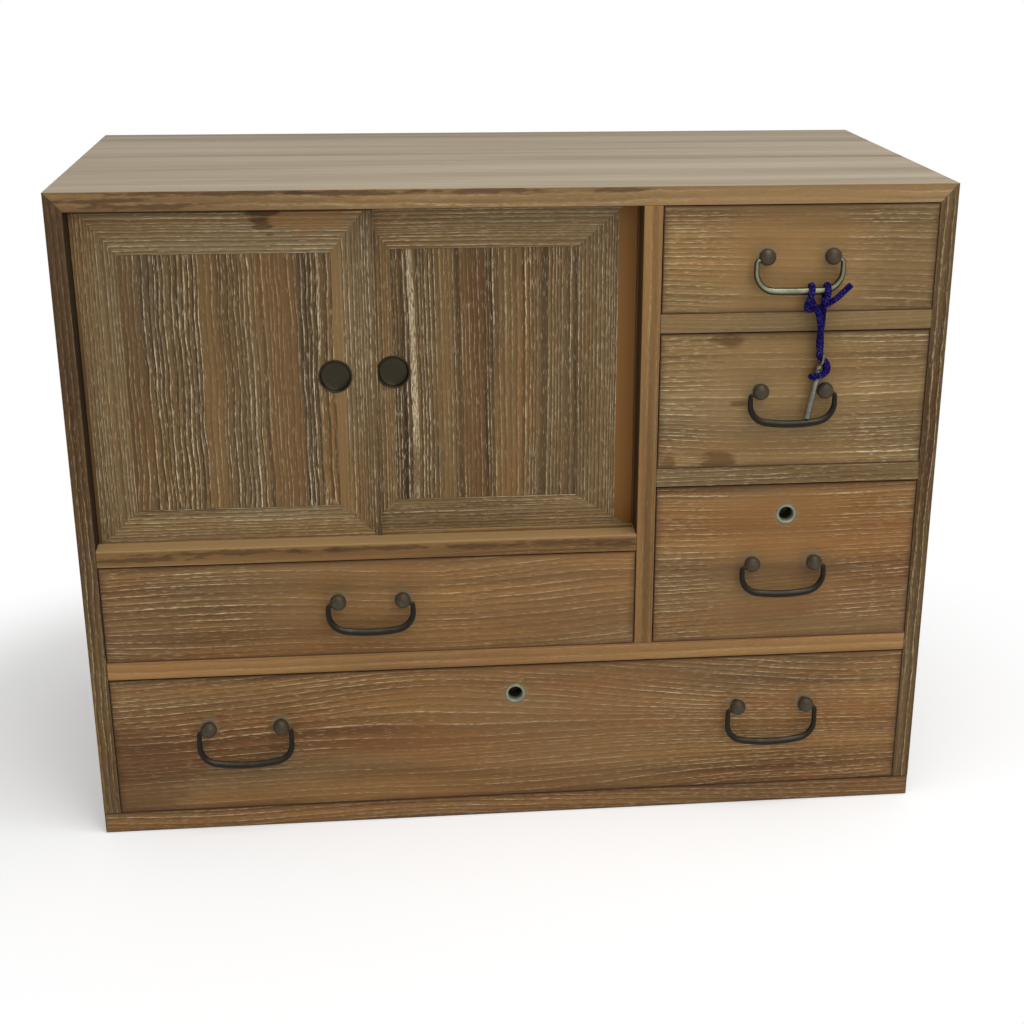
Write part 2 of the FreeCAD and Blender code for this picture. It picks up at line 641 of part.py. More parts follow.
def make_key():
    """Make the key: a plain rod hung by its ring in the cord's fold, just over the next bail."""
    centre = (f"{HANDLES['upper_bail'][1]} + key_reach", PIN_PLANE,
              f"{grip_height('upper_bail')} - key_ring_drop")
    ring = doc.addObject("Part::Torus", "ring")
    set_sizes(ring, Radius1="key_ring_radius", Radius2="key_ring_wire")
    set_place(ring, centre, ALONG["x"])
    ring.setExpression("Placement.Rotation.Angle", bind("90 + key_tilt"))
    start = (f"{centre[0]} - key_ring_radius * sin(key_tilt)", centre[1],
             f"{centre[2]} - key_ring_radius * cos(key_tilt)")
    tip = f"({grip_height('middle_bail')} + bail_radius + key_tip_gap + key_radius * sin(key_tilt))"
    shaft = doc.addObject("Part::Cylinder", "shaft")
    set_sizes(shaft, Radius="key_radius", Height=f"({start[2]} - {tip}) / cos(key_tilt)")
    set_place(shaft, start, ALONG["x"])
    shaft.setExpression("Placement.Rotation.Angle", bind("180 + key_tilt"))
    keep("key", fuse(ring, shaft))


def check_document():
    """Stop unless every object is sound and every sub-part is a valid shape."""
    doc.recompute()
    for part in doc.Objects:
        if "Invalid" in part.State or "Error" in part.State:
            raise RuntimeError(f"{part.Label} failed: {part.State}")
    for part in pieces:
        if part.Shape.isNull() or not part.Shape.isValid() or not part.Shape.Solids:
            raise RuntimeError(f"{part.Label} has no valid solid")


make_case()
for drawer_name in OPENINGS:
    make_drawer(drawer_name)
    make_studs(drawer_name)
for bail_name in HANDLES:
    make_bail(bail_name)
for lock_name in LOCKS:
    make_lock(lock_name)
make_doors()
make_cord()
make_key()
check_document()
os.makedirs("parts", exist_ok=True)
for piece in pieces:
    piece.Shape.exportStep(f"parts/{piece.Label}.step")
print(len(pieces), "sub-parts,", sum(len(piece.Shape.Solids) for piece in pieces), "solids")
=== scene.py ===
"""Dress the tansu chest: brushed boards, iron handles, patinated rings and a key on its cord.

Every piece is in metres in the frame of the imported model: the origin is the middle of
the base, +X runs to the right, the front faces -Y and +Z is up.
"""

import logging
import math
from dataclasses import dataclass, field, replace
from enum import Enum
from typing import Any, Optional, Sequence, Union

import bmesh
import bpy
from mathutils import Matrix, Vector


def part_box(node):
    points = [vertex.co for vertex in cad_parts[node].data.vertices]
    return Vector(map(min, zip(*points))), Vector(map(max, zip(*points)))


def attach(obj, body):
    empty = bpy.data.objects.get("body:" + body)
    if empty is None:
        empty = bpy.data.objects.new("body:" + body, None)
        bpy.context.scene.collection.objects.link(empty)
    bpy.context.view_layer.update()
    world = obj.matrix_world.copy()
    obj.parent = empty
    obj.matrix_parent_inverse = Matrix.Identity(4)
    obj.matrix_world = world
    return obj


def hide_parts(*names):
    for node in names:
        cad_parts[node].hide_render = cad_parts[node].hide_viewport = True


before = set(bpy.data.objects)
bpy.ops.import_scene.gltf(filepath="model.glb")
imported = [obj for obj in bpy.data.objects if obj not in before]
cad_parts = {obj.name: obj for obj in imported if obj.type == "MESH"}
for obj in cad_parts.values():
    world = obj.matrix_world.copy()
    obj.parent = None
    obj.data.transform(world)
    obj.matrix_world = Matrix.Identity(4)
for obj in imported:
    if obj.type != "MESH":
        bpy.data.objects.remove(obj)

LOG = logging.getLogger("tansu")
SAME_POINT = 1e-7
SMOOTH_ANGLE = 40.0
TURNED_ANGLE = 50.0
Colour = tuple[float, float, float]
Number = Union[float, "Wire"]
Point = tuple[float, float, float]
Profile = Sequence[tuple[float, float]]
WHITE: Colour = (1.0, 1.0, 1.0)


def shown(red: float, green: float, blue: float) -> Colour:
    """Return a linear colour from the 0 to 255 values that a picture shows.

    Args:
        red: The red value.
        green: The green value.
        blue: The blue value.

    Returns:
        The colour as the shaders take it.
    """
    # The usual curve of a display: a straight foot, then a power.
    parts = [part / 255 for part in (red, green, blue)]
    return tuple(part / 12.92 if part < 0.04045 else ((part + 0.055) / 1.055) ** 2.4 for part in parts)


class Wire:
    """A value in a node tree; Python's operators on it add Math nodes."""

    def __init__(self, tree: "Tree", socket: bpy.types.NodeSocket) -> None:
        """Hold a node's output socket and the tree that it belongs to."""
        self.tree = tree
        self.socket = socket

    def __add__(self, other: Number) -> "Wire":
        """Add a number or a wire."""
        return self.tree.math("ADD", self, other)

    __radd__ = __add__

    def __sub__(self, other: Number) -> "Wire":
        """Take a number or a wire away."""
        return self.tree.math("SUBTRACT", self, other)

    def __rsub__(self, other: Number) -> "Wire":
        """Take this wire away from a number."""
        return self.tree.math("SUBTRACT", other, self)

    def __mul__(self, other: Number) -> "Wire":
        """Multiply by a number or a wire."""
        return self.tree.math("MULTIPLY", self, other)

    __rmul__ = __mul__

    def __truediv__(self, other: Number) -> "Wire":
        """Divide by a number or a wire."""
        return self.tree.math("DIVIDE", self, other)

    def __abs__(self) -> "Wire":
        """Drop the sign."""
        return self.tree.math("ABSOLUTE", self)

    def fract(self) -> "Wire":
        """Keep the part after the point."""
        return self.tree.math("FRACT", self)

    def smaller(self, other: Number) -> "Wire":
        """Take the smaller of two values."""
        return self.tree.math("MINIMUM", self, other)

    def larger(self, other: Number) -> "Wire":
        """Take the larger of two values."""
        return self.tree.math("MAXIMUM", self, other)

    def rise(self, low: float, high: float) -> "Wire":
        """Rise smoothly from 0 at low to 1 at high.

        Args:
            low: Where the rise starts.
            high: Where it ends.

        Returns:
            The eased value from 0 to 1.
        """
        settings = {"interpolation_type": "SMOOTHSTEP"}
        values = {"Value": self, "From Min": low, "From Max": high}
        return self.tree.node("ShaderNodeMapRange", settings, values)["Result"]


class Outputs:
    """A node's outputs by name or number."""

    def __init__(self, tree: "Tree", node: bpy.types.Node) -> None:
        """Hold a node and the tree that it belongs to."""
        self.tree = tree
        self.node = node

    def __getitem__(self, key: Union[str, int]) -> Wire:
        """Return one output as a wire."""
        return Wire(self.tree, self.node.outputs[key])


class Tree:
    """A shader or geometry node tree that is built by calls and expressions."""

    def __init__(self, tree: bpy.types.NodeTree) -> None:
        """Hold the Blender tree."""
        self.tree = tree

    def node(self, kind: str, settings: Optional[dict[str, Any]] = None,
             values: Optional[dict[Union[str, int], Any]] = None) -> Outputs:
        """Add a node.

        Args:
            kind: The node's Blender type.
            settings: Properties, set first; "stops" fills a colour ramp.
            values: Plain values, wires or lists of wires for its input sockets.

        Returns:
            The node's outputs.
        """
        node = self.tree.nodes.new(kind)
        for name, setting in (settings or {}).items():
            if name == "stops":
                self._fill_ramp(node.color_ramp, setting)
            else:
                setattr(node, name, setting)
        for key, value in (values or {}).items():
            socket = node.inputs[key]
            if isinstance(value, (Wire, list)):
                for wire in value if isinstance(value, list) else [value]:
                    self.tree.links.new(wire.socket, socket)
            elif isinstance(value, tuple) and socket.type == "RGBA":
                socket.default_value = (*value, 1.0)
            else:
                socket.default_value = value
        return Outputs(self, node)

    @staticmethod
    def _fill_ramp(ramp: bpy.types.ColorRamp, stops: Sequence[tuple[float, Colour]]) -> None:
        """Set a ramp's stops.

        Args:
            ramp: The ramp.
            stops: Each stop's place and colour, in order.
        """
        while len(ramp.elements) < len(stops):
            ramp.elements.new(1.0)
        for element, (place, colour) in zip(ramp.elements, stops):
            element.position = place
            element.color = (*colour, 1.0)

    def math(self, operation: str, *terms: Number) -> Wire:
        """Return a Math node's value."""
        return self.node("ShaderNodeMath", {"operation": operation}, dict(enumerate(terms)))[0]

    def vector(self, operation: str, *terms: Any) -> Wire:
        """Return a Vector Math node's vector."""
        return self.node("ShaderNodeVectorMath", {"operation": operation}, dict(enumerate(terms)))["Vector"]

    def combine(self, x: Number, y: Number, z: Number) -> Wire:
        """Return a vector from three numbers."""
        return self.node("ShaderNodeCombineXYZ", values={"X": x, "Y": y, "Z": z})["Vector"]

    def length(self, *terms: Number) -> Wire:
        """Return the length of the vector with these two or three parts."""
        vector = self.combine(*terms, *[0.0] * (3 - len(terms)))
        return self.node("ShaderNodeVectorMath", {"operation": "LENGTH"}, {0: vector})["Value"]

    def scaled(self, colour: Wire, amount: Number) -> Wire:
        """Return a colour times a number."""
        settings = {"operation": "SCALE"}
        return self.node("ShaderNodeVectorMath", settings, {0: colour, "Scale": amount})["Vector"]

    def mix(self, amount: Number, first: Any, second: Any, blend: str = "MIX") -> Wire:
        """Return a mix of two colours.

        Args:
            amount: How much of the second colour, from 0 to 1.
            first: The colour at 0.
            second: The colour at 1.
            blend: Blender's name for the way they mix.

        Returns:
            The mixed colour.
        """
        settings = {"data_type": "RGBA", "blend_type": blend}
        return self.node("ShaderNodeMix", settings, {0: amount, 6: first, 7: second})[2]

    def noise(self, place: Wire, stretch: Point, detail: float = 2.0, rough: float = 0.5) -> Wire:
        """Return smooth noise from 0 to 1 about one half.

        Args:
            place: The coordinates.
            stretch: How many times a metre the noise changes along each of them.
            detail: Octaves of finer noise.
            rough: How strong the finer octaves are.

        Returns:
            The noise.
        """
        moved = self.vector("MULTIPLY", place, stretch)
        values = {"Vector": moved, "Scale": 1.0, "Detail": detail, "Roughness": rough}
        return self.node("ShaderNodeTexNoise", values=values)[0]

    def ramp(self, amount: Wire, *stops: tuple[float, Colour]) -> Wire:
        """Return a colour from a ramp of stops."""
        return self.node("ShaderNodeValToRGB", {"stops": stops}, {"Fac": amount})["Color"]


def emptied(owner: Union[bpy.types.Material, bpy.types.World]) -> Tree:
    """Return an owner's node tree with nothing in it.

    Args:
        owner: A new material or world.

    Returns:
        The empty tree.
    """
    owner.use_nodes = True
    owner.node_tree.nodes.clear()
    return Tree(owner.node_tree)


class Paint:
    """A new material whose Principled shader takes the values it is given."""

    def __init__(self, name: str) -> None:
        """Make the material with an empty tree.

        Args:
            name: The material's name.
        """
        self.material = bpy.data.materials.new(name)
        self.tree = emptied(self.material)
        self.place = self.tree.node("ShaderNodeTexCoord")["Object"]

    def parts(self) -> tuple[Wire, Wire, Wire]:
        """Return the three object coordinates."""
        outputs = self.tree.node("ShaderNodeSeparateXYZ", values={"Vector": self.place})
        return outputs["X"], outputs["Y"], outputs["Z"]

    def sides(self) -> Outputs:
        """Return how much the surface faces along X, Y and Z."""
        normal = self.tree.node("ShaderNodeTexCoord")["Normal"]
        return self.tree.node("ShaderNodeSeparateXYZ", values={"Vector": normal})

    def bump(self, height: Wire, strength: float, distance: float) -> Wire:
        """Return the surface's normal over a height.

        Args:
            height: The height, where 1 is the full distance.
            strength: How much of it shows.
            distance: The depth of the relief in metres.

        Returns:
            The bumped normal.
        """
        values = {"Strength": strength, "Distance": distance, "Height": height}
        return self.tree.node("ShaderNodeBump", values=values)["Normal"]

    def finish(self, values: dict[str, Any]) -> bpy.types.Material:
        """Join the shader to the output.

        Args:
            values: Values or wires for the Principled shader's sockets.

        Returns:
            The finished material.
        """
        shader = self.tree.node("ShaderNodeBsdfPrincipled", values=values)["BSDF"]
        self.tree.node("ShaderNodeOutputMaterial", values={"Surface": shader})
        return self.material


class Grain(Enum):
    """The way a board's grain runs: its axes along, across and deep into the board."""

    SIDEWAYS = ("X", "Z", "Y")
    UPRIGHT = ("Z", "X", "Y")
    INWARDS = ("Y", "Z", "X")


@dataclass(frozen=True)
class Mark:
    """A soft spot of another colour on a board, by its place in X and Z, which ends at a depth in Y."""

    x: float
    z: float
    wide: float
    tall: float
    colour: Colour
    amount: float
    ragged: float = 0.5
    back: float = 1.0


@dataclass(frozen=True)
class Band:
    """A strip of a board between two places in X, smoother than the rest, which ends below its top."""

    low: float
    high: float
    colour: Colour
    top: float = 1.0
    amount: float = 0.85
    smooth: float = 1.0
    soft: float = 0.0006


# How often the wood's patterns change in a metre: along, across and deep into the board.
FIBRES: Point = (70.0, 1500.0, 1500.0)
TONES: Point = (1.5, 30.0, 30.0)
PATCHES: Point = (3.5, 13.0, 13.0)
BLUSHES: Point = (4.0, 16.0, 16.0)
CLUMPS: Point = (10.0, 110.0, 110.0)
DRIFT: Point = (2.0, 7.0, 7.0)
WAVES: Point = (20.0, 36.0, 36.0)
SMOOTH_PATCHES: Point = (2.6, 12.0, 12.0)
BAND_EDGES: Point = (9.0, 60.0, 60.0)
GRIME_AND_SHADE_EDGES: Point = (16.0, 60.0, 60.0)
# The same for the ragged edges of marks, in X, Z and Y.
MARK_EDGES: Point = (60.0, 230.0, 60.0)

# How often the metal's and the yarn's patterns change in a metre.
DENTS: Point = (130.0, 130.0, 130.0)
SPECKS: Point = (620.0, 620.0, 620.0)
YARN_HAIRS: Point = (900.0, 900.0, 900.0)
YARN_WEAR: Point = (110.0, 110.0, 110.0)

# Pale grey for upward faces: dust, and a painted sheen that stands for the reflection of the white surround
# at a low angle.
DUST_AND_SHEEN = shown(179, 171, 152)
RIM_GRIME_AND_SHADE = shown(62, 38, 18)
RELIEF_DEPTH = 0.0008
HAIR_DEPTH = 0.0003
RING_CHANGE = 60.0
BAND_FADE = 0.12
MARK_FADE = 0.003


@dataclass(frozen=True)
class WoodFinish:
    """Brushed softwood: tones, growth rings worn into relief and pale filler along them."""

    name: str
    grain: Grain
    dark: Colour
    middle: Colour
    warm: Colour
    seed: float = 0.0
    grey: Colour = shown(126, 108, 74)
    greying: float = 0.35
    blush: Colour = shown(146, 98, 52)
    blushing: float = 0.0
    filler: Colour = shown(214, 194, 152)
    line_width: float = 0.16
    filled: float = 0.6
    ring_gap: float = 0.0042
    pith: tuple[float, float] = (0.45, 0.12)
    wander: float = 0.012
    wave: float = 0.0012
    uneven: float = 3.0
    late: float = 0.34
    fibre: float = 0.6
    dash: float = 150.0
    pores: float = 0.4
    plain: float = 0.35
    relief: float = 0.35
    rough: float = 0.64
    shine: float = 0.25
    # Upward faces: dust and a painted sheen.
    top_dust_and_sheen: float = 0.0
    # Darker front edges: grime, and painted shade along the gaps between parts.
    edge_grime_and_shade: float = 0.0
    marks: tuple[Mark, ...] = ()
    bands: tuple[Band, ...] = ()

    def material(self, low: Vector, high: Vector) -> bpy.types.Material:
        """Make the material for one board.

        Args:
            low: The lowest corner of the board.
            high: Its highest corner.

        Returns:
            The material.
        """
        paint = Paint(self.name)
        tree = paint.tree
        places = dict(zip("XYZ", paint.parts()))
        along, across, deep = (places[axis] for axis in self.grain.value)
        board = tree.combine(along + self.seed, across, deep)
        late, ring_line = self._rings(tree, board, across, deep)
        fibres = tree.noise(board, FIBRES, 3.0, 0.65)
        tone = tree.noise(board, TONES, 3.0, 0.6)
        worked = 1.0 - self._smooth_amount(tree, board, places)
        shade = 1.0 + (fibres - 0.5) * (self.fibre * worked + 0.15) - late * worked * self.late
        colour = tree.scaled(self._toned(tree, board, tone), shade)
        scratches = tree.noise(board, self._lines(0.5, 1100.0), 1.0).rise(0.62, 0.72)
        colour = tree.scaled(colour, 1.0 - scratches * worked * (self.late * 0.8))
        lime = self._lime(tree, board, ring_line) * worked * self.filled
        colour = tree.mix(lime.smaller(1.0), colour, self.filler)
        for band in self.bands:
            colour = tree.mix(self._strip(tree, board, places, band) * band.amount, colour, band.colour)
        colour = self._marked(tree, colour, places)
        if self.edge_grime_and_shade:
            colour = self._grimed_and_shaded(tree, board, colour, places, low, high)
        # Upward faces turn pale grey: partly dust, partly painted sheen in place of the reflection of the
        # white surround.
        if self.top_dust_and_sheen:
            dust_and_sheen = self.top_dust_and_sheen + (tone - 0.5) * 0.9 - late * 0.10
            colour = tree.mix(paint.sides()["Z"].rise(0.6, 0.9) * dust_and_sheen, colour, DUST_AND_SHEEN)
        rough = self.rough + (fibres - 0.5) * 0.2 + lime * 0.12
        height = fibres * 0.6 - late * 0.7 - lime * 0.2
        normal = paint.bump(height * worked, self.relief, RELIEF_DEPTH)
        return paint.finish({"Base Color": colour, "Roughness": rough, "Normal": normal,
                             "Specular IOR Level": self.shine})

    def _lines(self, share: float, fine: float) -> Point:
        """Return how often short lines along the grain change in a metre."""
        return self.dash * share, fine, fine

    def _toned(self, tree: Tree, board: Wire, tone: Wire) -> Wire:
        """Return the wood's own colour, before brushing and wear.

        Args:
            tree: The material's tree.
            board: The coordinates along, across and deep.
            tone: The noise between dark and warm wood.

        Returns:
            The colour.
        """
        patch = tree.noise(board, PATCHES, 3.0).rise(0.40, 0.64)
        colour = tree.ramp(tone, (0.32, self.dark), (0.5, self.middle), (0.68, self.warm))
        colour = tree.mix(patch * self.greying, colour, self.grey)
        if self.blushing:
            blush = tree.noise(board, BLUSHES, 3.0).rise(0.48, 0.66)
            colour = tree.mix(blush * self.blushing, colour, self.blush)
        return colour

    def _lime(self, tree: Tree, board: Wire, ring_line: Wire) -> Wire:
        """Return how much pale filler the rings and pores would hold if all were brushed.

        Args:
            tree: The material's tree.
            board: The coordinates along, across and deep.
            ring_line: The line where each ring ends.

        Returns:
            The filler's strength.
        """
        dashes = tree.noise(board, self._lines(1.0, 1300.0), 2.0, 0.7).rise(0.40, 0.58)
        thick = 0.15 + 0.85 * tree.noise(board, CLUMPS, 2.0).rise(0.38, 0.60)
        pores = tree.noise(board, self._lines(0.7, 1000.0), 1.0).rise(0.60, 0.70)
        return ring_line * dashes * thick + pores * self.pores

    def _rings(self, tree: Tree, board: Wire, across: Wire, deep: Wire) -> tuple[Wire, Wire]:
        """Return the dark late wood of each ring and the line where the ring ends.

        Args:
            tree: The material's tree.
            board: The coordinates along, across and deep.
            across: The coordinate across the grain.
            deep: The coordinate into the board.

        Returns:
            The late wood and the line, each from 0 to 1.
        """
        drift = tree.noise(board, DRIFT, 1.0) - 0.5
        wave = tree.noise(board, WAVES, 2.0) - 0.5
        reach = tree.length(across - self.pith[0], deep - self.pith[1])
        reach = reach + drift * self.wander + wave * (2.0 * self.wave)
        spread = tree.node("ShaderNodeTexNoise", {"noise_dimensions": "1D"},
                           {"W": reach * RING_CHANGE + self.seed, "Scale": 1.0, "Detail": 2.0})[0]
        place = (reach / self.ring_gap + spread * self.uneven).fract()
        start = 0.97 - self.line_width
        late = place.rise(0.15, 0.65) - place.rise(start - 0.06, start)
        line = place.rise(start - 0.03, start + 0.03) - place.rise(0.94, 1.0)
        return late, line

    def _strip(self, tree: Tree, board: Wire, places: dict[str, Wire], band: Band) -> Wire:
        """Return where a band lies.

        Args:
            tree: The material's tree.
            board: The coordinates along, across and deep.
            places: The object coordinates by axis.
            band: The band.

        Returns:
            The band's strength, from 0 to 1.
        """
        x = places["X"] + (tree.noise(board, BAND_EDGES, 2.0) - 0.5) * (band.soft * 2.0)
        strip = x.rise(band.low - band.soft, band.low) - x.rise(band.high, band.high + band.soft)
        return strip * (1.0 - places["Z"].rise(band.top - BAND_FADE, band.top))

    def _smooth_amount(self, tree: Tree, board: Wire, places: dict[str, Wire]) -> Wire:
        """Return how smooth the wood is.

        Args:
            tree: The material's tree.
            board: The coordinates along, across and deep.
            places: The object coordinates by axis.

        Returns:
            The smoothness, which is 1 where brushing has left no trace.
        """
        smooth = tree.noise(board, SMOOTH_PATCHES, 2.0).rise(0.46, 0.66) * self.plain
        for band in self.bands:
            smooth = smooth.larger(self._strip(tree, board, places, band) * band.smooth)
        return smooth

    def _marked(self, tree: Tree, colour: Wire, places: dict[str, Wire]) -> Wire:
        """Return the colour with its knots, bruises and halos.

        Args:
            tree: The material's tree.
            colour: The colour so far.
            places: The object coordinates by axis.

        Returns:
            The marked colour.
        """
        if not self.marks:
            return colour
        ragged = tree.noise(tree.combine(places["X"], places["Z"], places["Y"]), MARK_EDGES, 3.0) - 0.5
        for mark in self.marks:
            reach = tree.length((places["X"] - mark.x) / mark.wide, (places["Z"] - mark.z) / mark.tall)
            spot = 1.0 - (reach + ragged * (2.0 * mark.ragged)).rise(0.45, 1.0)
            spot = spot * (1.0 - places["Y"].rise(mark.back - MARK_FADE, mark.back))
            colour = tree.mix(spot * mark.amount, colour, mark.colour)
        return colour

    def _grimed_and_shaded(self, tree: Tree, board: Wire, colour: Wire, places: dict[str, Wire], low: Vector,
                high: Vector) -> Wire:
        """Return the colour darkened round the board's front edges: grime, and painted shade along the gaps
        between parts.

        Args:
            tree: The material's tree.
            board: The coordinates along, across and deep.
            colour: The colour so far.
            places: The object coordinates by axis.
            low: The lowest corner of the board.
            high: Its highest corner.

        Returns:
            The darkened colour.
        """
        rims = []
        for axis, index in (("X", 0), ("Z", 2)):
            middle = (low[index] + high[index]) / 2
            rims.append((high[index] - low[index]) / 2 - abs(places[axis] - middle))
        rim = rims[0].smaller(rims[1])
        uneven = tree.noise(board, GRIME_AND_SHADE_EDGES, 3.0)
        # Grime with painted shade within a few millimetres of the rim, and a thin painted line of gap shade
        # right at the rim.
        grime_and_shade = (1.0 - (rim - uneven * 0.006).rise(-0.003, 0.004)) * self.edge_grime_and_shade
        gap_shade = 1.0 - (rim - uneven * 0.0008).rise(0.0002, 0.0013)
        return tree.mix(grime_and_shade.larger(gap_shade * 0.8), colour, RIM_GRIME_AND_SHADE)


@dataclass(frozen=True)
class MetalFinish:
    """Old metal: a dark skin, rubbed places, a patina in the hollows and, where set, painted shade on the
    sides turned away from the light.
    """

    name: str
    skin: Colour
    rubbed: Colour
    patina: Colour
    metallic: float = 0.8
    rough: float = 0.45
    rub: float = 0.5
    aged: float = 0.4
    dents: float = 0.35
    # Painted shade: its colour, its strength, the lit direction as an angle above the front, and how far
    # the surface must face it to be lit.
    grime_and_shade: Colour = shown(30, 22, 10)
    painted_shading: float = 0.0
    lit_angle: float = 0.0
    lit_start: float = 0.45
    shine: float = 0.5

    def material(self) -> bpy.types.Material:
        """Make the metal's material.

        Returns:
            The material.
        """
        paint = Paint(self.name)
        tree = paint.tree
        cloud = tree.noise(paint.place, DENTS, 4.0, 0.6)
        speck = tree.noise(paint.place, SPECKS, 3.0, 0.6)
        rubbed = (cloud + (speck - 0.5) * 0.35).rise(0.46, 0.70) * self.rub
        aged = (1.0 - cloud + (speck - 0.5) * 0.5).rise(0.45, 0.72) * self.aged
        colour = tree.mix(rubbed, self.skin, self.rubbed)
        colour = tree.mix(aged, colour, self.patina)
        # Painted shade: the colour darkens where the surface turns away from the lit direction, so a rod
        # looks lit across its middle and shaded towards its top and bottom.
        if self.painted_shading:
            sides = paint.sides()
            facing = sides["Z"] * math.sin(self.lit_angle) - sides["Y"] * math.cos(self.lit_angle)
            colour = tree.mix((1.0 - facing.rise(self.lit_start, 0.97)) * self.painted_shading, colour, self.grime_and_shade)
        metallic = self.metallic * (1.0 - aged * 0.8)
        rough = self.rough - rubbed * 0.12 + aged * 0.3 + (speck - 0.5) * 0.15
        normal = paint.bump(cloud + speck * 0.3, self.dents, RELIEF_DEPTH)
        return paint.finish({"Base Color": colour, "Metallic": metallic, "Roughness": rough,
                             "Normal": normal, "Specular IOR Level": self.shine})


@dataclass(frozen=True)
class CordFinish:
    """Braided yarn: each strand a little lighter or darker, with worn pale fibres."""

    name: str
    deep: Colour
    bright: Colour
    fluff: Colour

    def material(self) -> bpy.types.Material:
        """Make the yarn's material.

        Returns:
            The material.
        """
        paint = Paint(self.name)
        tree = paint.tree
        strand = tree.node("ShaderNodeAttribute", {"attribute_name": "strand"})["Fac"]
        yarn = tree.noise(paint.place, YARN_HAIRS, 3.0, 0.6)
        cloud = tree.noise(paint.place, YARN_WEAR, 2.0)
        colour = tree.mix((strand * 0.6 + yarn * 0.5).smaller(1.0), self.deep, self.bright)
        colour = tree.mix((yarn + cloud * 0.3).rise(0.69, 0.83) * 0.62, colour, self.fluff)
        normal = paint.bump(yarn, 0.4, HAIR_DEPTH)
        return paint.finish({"Base Color": colour, "Roughness": 0.85, "Normal": normal,
                             "Specular IOR Level": 0.15})


def put(name: str, data: Any) -> bpy.types.Object:
    """Put new data in the scene as an object.

    Args:
        name: The object's name.
        data: Its mesh, curve, lamp or camera.

    Returns:
        The new object.
    """
    item = bpy.data.objects.new(name, data)
    bpy.context.scene.collection.objects.link(item)
    return item


def add_piece(name: str, mesh: bpy.types.Mesh, material: bpy.types.Material, body: str,
              replaced: Sequence[str] = ()) -> bpy.types.Object:
    """Put a mesh in the scene as a piece of the chest.

    Args:
        name: The piece's name.
        mesh: Its mesh, with its place in its points.
        material: What it is made of.
        body: The body that it rides on.
        replaced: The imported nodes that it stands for.

    Returns:
        The new object.
    """
    mesh.name = name
    mesh.materials.clear()
    mesh.materials.append(material)
    piece = put(name, mesh)
    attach(piece, body)
    if replaced:
        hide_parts(*replaced)
    LOG.info("%s rides on %s, %d faces", name, body, len(mesh.polygons))
    return piece


def dress_node(node: str, material: bpy.types.Material) -> None:
    """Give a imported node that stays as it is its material.

    Args:
        node: The node's name.
        material: What it is made of.
    """
    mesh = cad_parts[node].data
    mesh.materials.clear()
    mesh.materials.append(material)
    LOG.info("%s takes %s", node, material.name)


def middle_of(node: str) -> Vector:
    """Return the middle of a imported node's box."""
    low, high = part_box(node)
    return (low + high) / 2


def mesh_from(bm: bmesh.types.BMesh, smooth_angle: float = 0.0) -> bpy.types.Mesh:
    """Turn a bmesh into a mesh with its faces outwards.

    Args:
        bm: The bmesh, which is freed.
        smooth_angle: Edges flatter than this many degrees are shaded smooth.

    Returns:
        The mesh.
    """
    bmesh.ops.recalc_face_normals(bm, faces=bm.faces)
    mesh = bpy.data.meshes.new("made")
    bm.to_mesh(mesh)
    bm.free()
    if smooth_angle:
        mesh.shade_smooth()
        mesh.set_sharp_from_angle(angle=math.radians(smooth_angle))
    return mesh


def rod_mesh(points: Sequence[Vector], radii: Sequence[float], up: Vector, sides: int,
             hoop: bool = False) -> bpy.types.Mesh:
    """Sweep a round section along points.

    Args:
        points: The middle line.
        radii: The radius at each point.
        up: A direction that is never along the line.
        sides: How many sides the section has.
        hoop: True where the line's end meets its start.

    Returns:
        The closed mesh.
    """
    bm = bmesh.new()
    rings = []
    for index, (point, radius) in enumerate(zip(points, radii)):
        if hoop:
            ahead = points[(index + 1) % len(points)] - points[index - 1]
        else:
            ahead = points[min(index + 1, len(points) - 1)] - points[max(index - 1, 0)]
        first = ahead.cross(up).normalized()
        second = first.cross(ahead).normalized()
        ring = []
        for side in range(sides):
            turn = math.tau * side / sides
            ring.append(bm.verts.new(point + radius * (math.cos(turn) * first + math.sin(turn) * second)))
        rings.append(ring)
    following = rings[1:] + rings[:1] if hoop else rings[1:]
    for ring, after in zip(rings, following):
        for side in range(sides):
            onward = (side + 1) % sides
            bm.faces.new((ring[side], ring[onward], after[onward], after[side]))
    if not hoop:
        bm.faces.new(rings[0])
        bm.faces.new(rings[-1])
    return mesh_from(bm, SMOOTH_ANGLE)


def turned_mesh(profile: Profile, centre: Vector, steps: int) -> bpy.types.Mesh:
    """Turn a profile round the axis that runs from front to back.

    Args:
        profile: Pairs of radius and place along Y; radius 0 closes the form.
        centre: The place of the axis.
        steps: How many steps make the full turn.

    Returns:
        The turned mesh.
    """
    bm = bmesh.new()
    rings = []
    turns = [math.tau * step / steps for step in range(steps)]
    for radius, y in profile:
        if radius == 0.0:
            rings.append([bm.verts.new(centre + Vector((0.0, y, 0.0)))] * steps)
            continue
        rings.append([bm.verts.new(centre + Vector((radius * math.cos(turn), y, radius * math.sin(turn))))
                      for turn in turns])
    for ring, after in zip(rings, rings[1:]):
        for step in range(steps):
            onward = (step + 1) % steps
            corners = dict.fromkeys((ring[step], ring[onward], after[onward], after[step]))
            bm.faces.new(list(corners))
    bmesh.ops.remove_doubles(bm, verts=bm.verts, dist=SAME_POINT)
    return mesh_from(bm, TURNED_ANGLE)


def joined(meshes: Sequence[bpy.types.Mesh]) -> bpy.types.Mesh:
    """Return one mesh from several.

    Args:
        meshes: The meshes, which are removed.

    Returns:
        The joined mesh.
    """
    bm = bmesh.new()
    for mesh in meshes:
        bm.from_mesh(mesh)
        bpy.data.meshes.remove(mesh)
    return mesh_from(bm, SMOOTH_ANGLE)


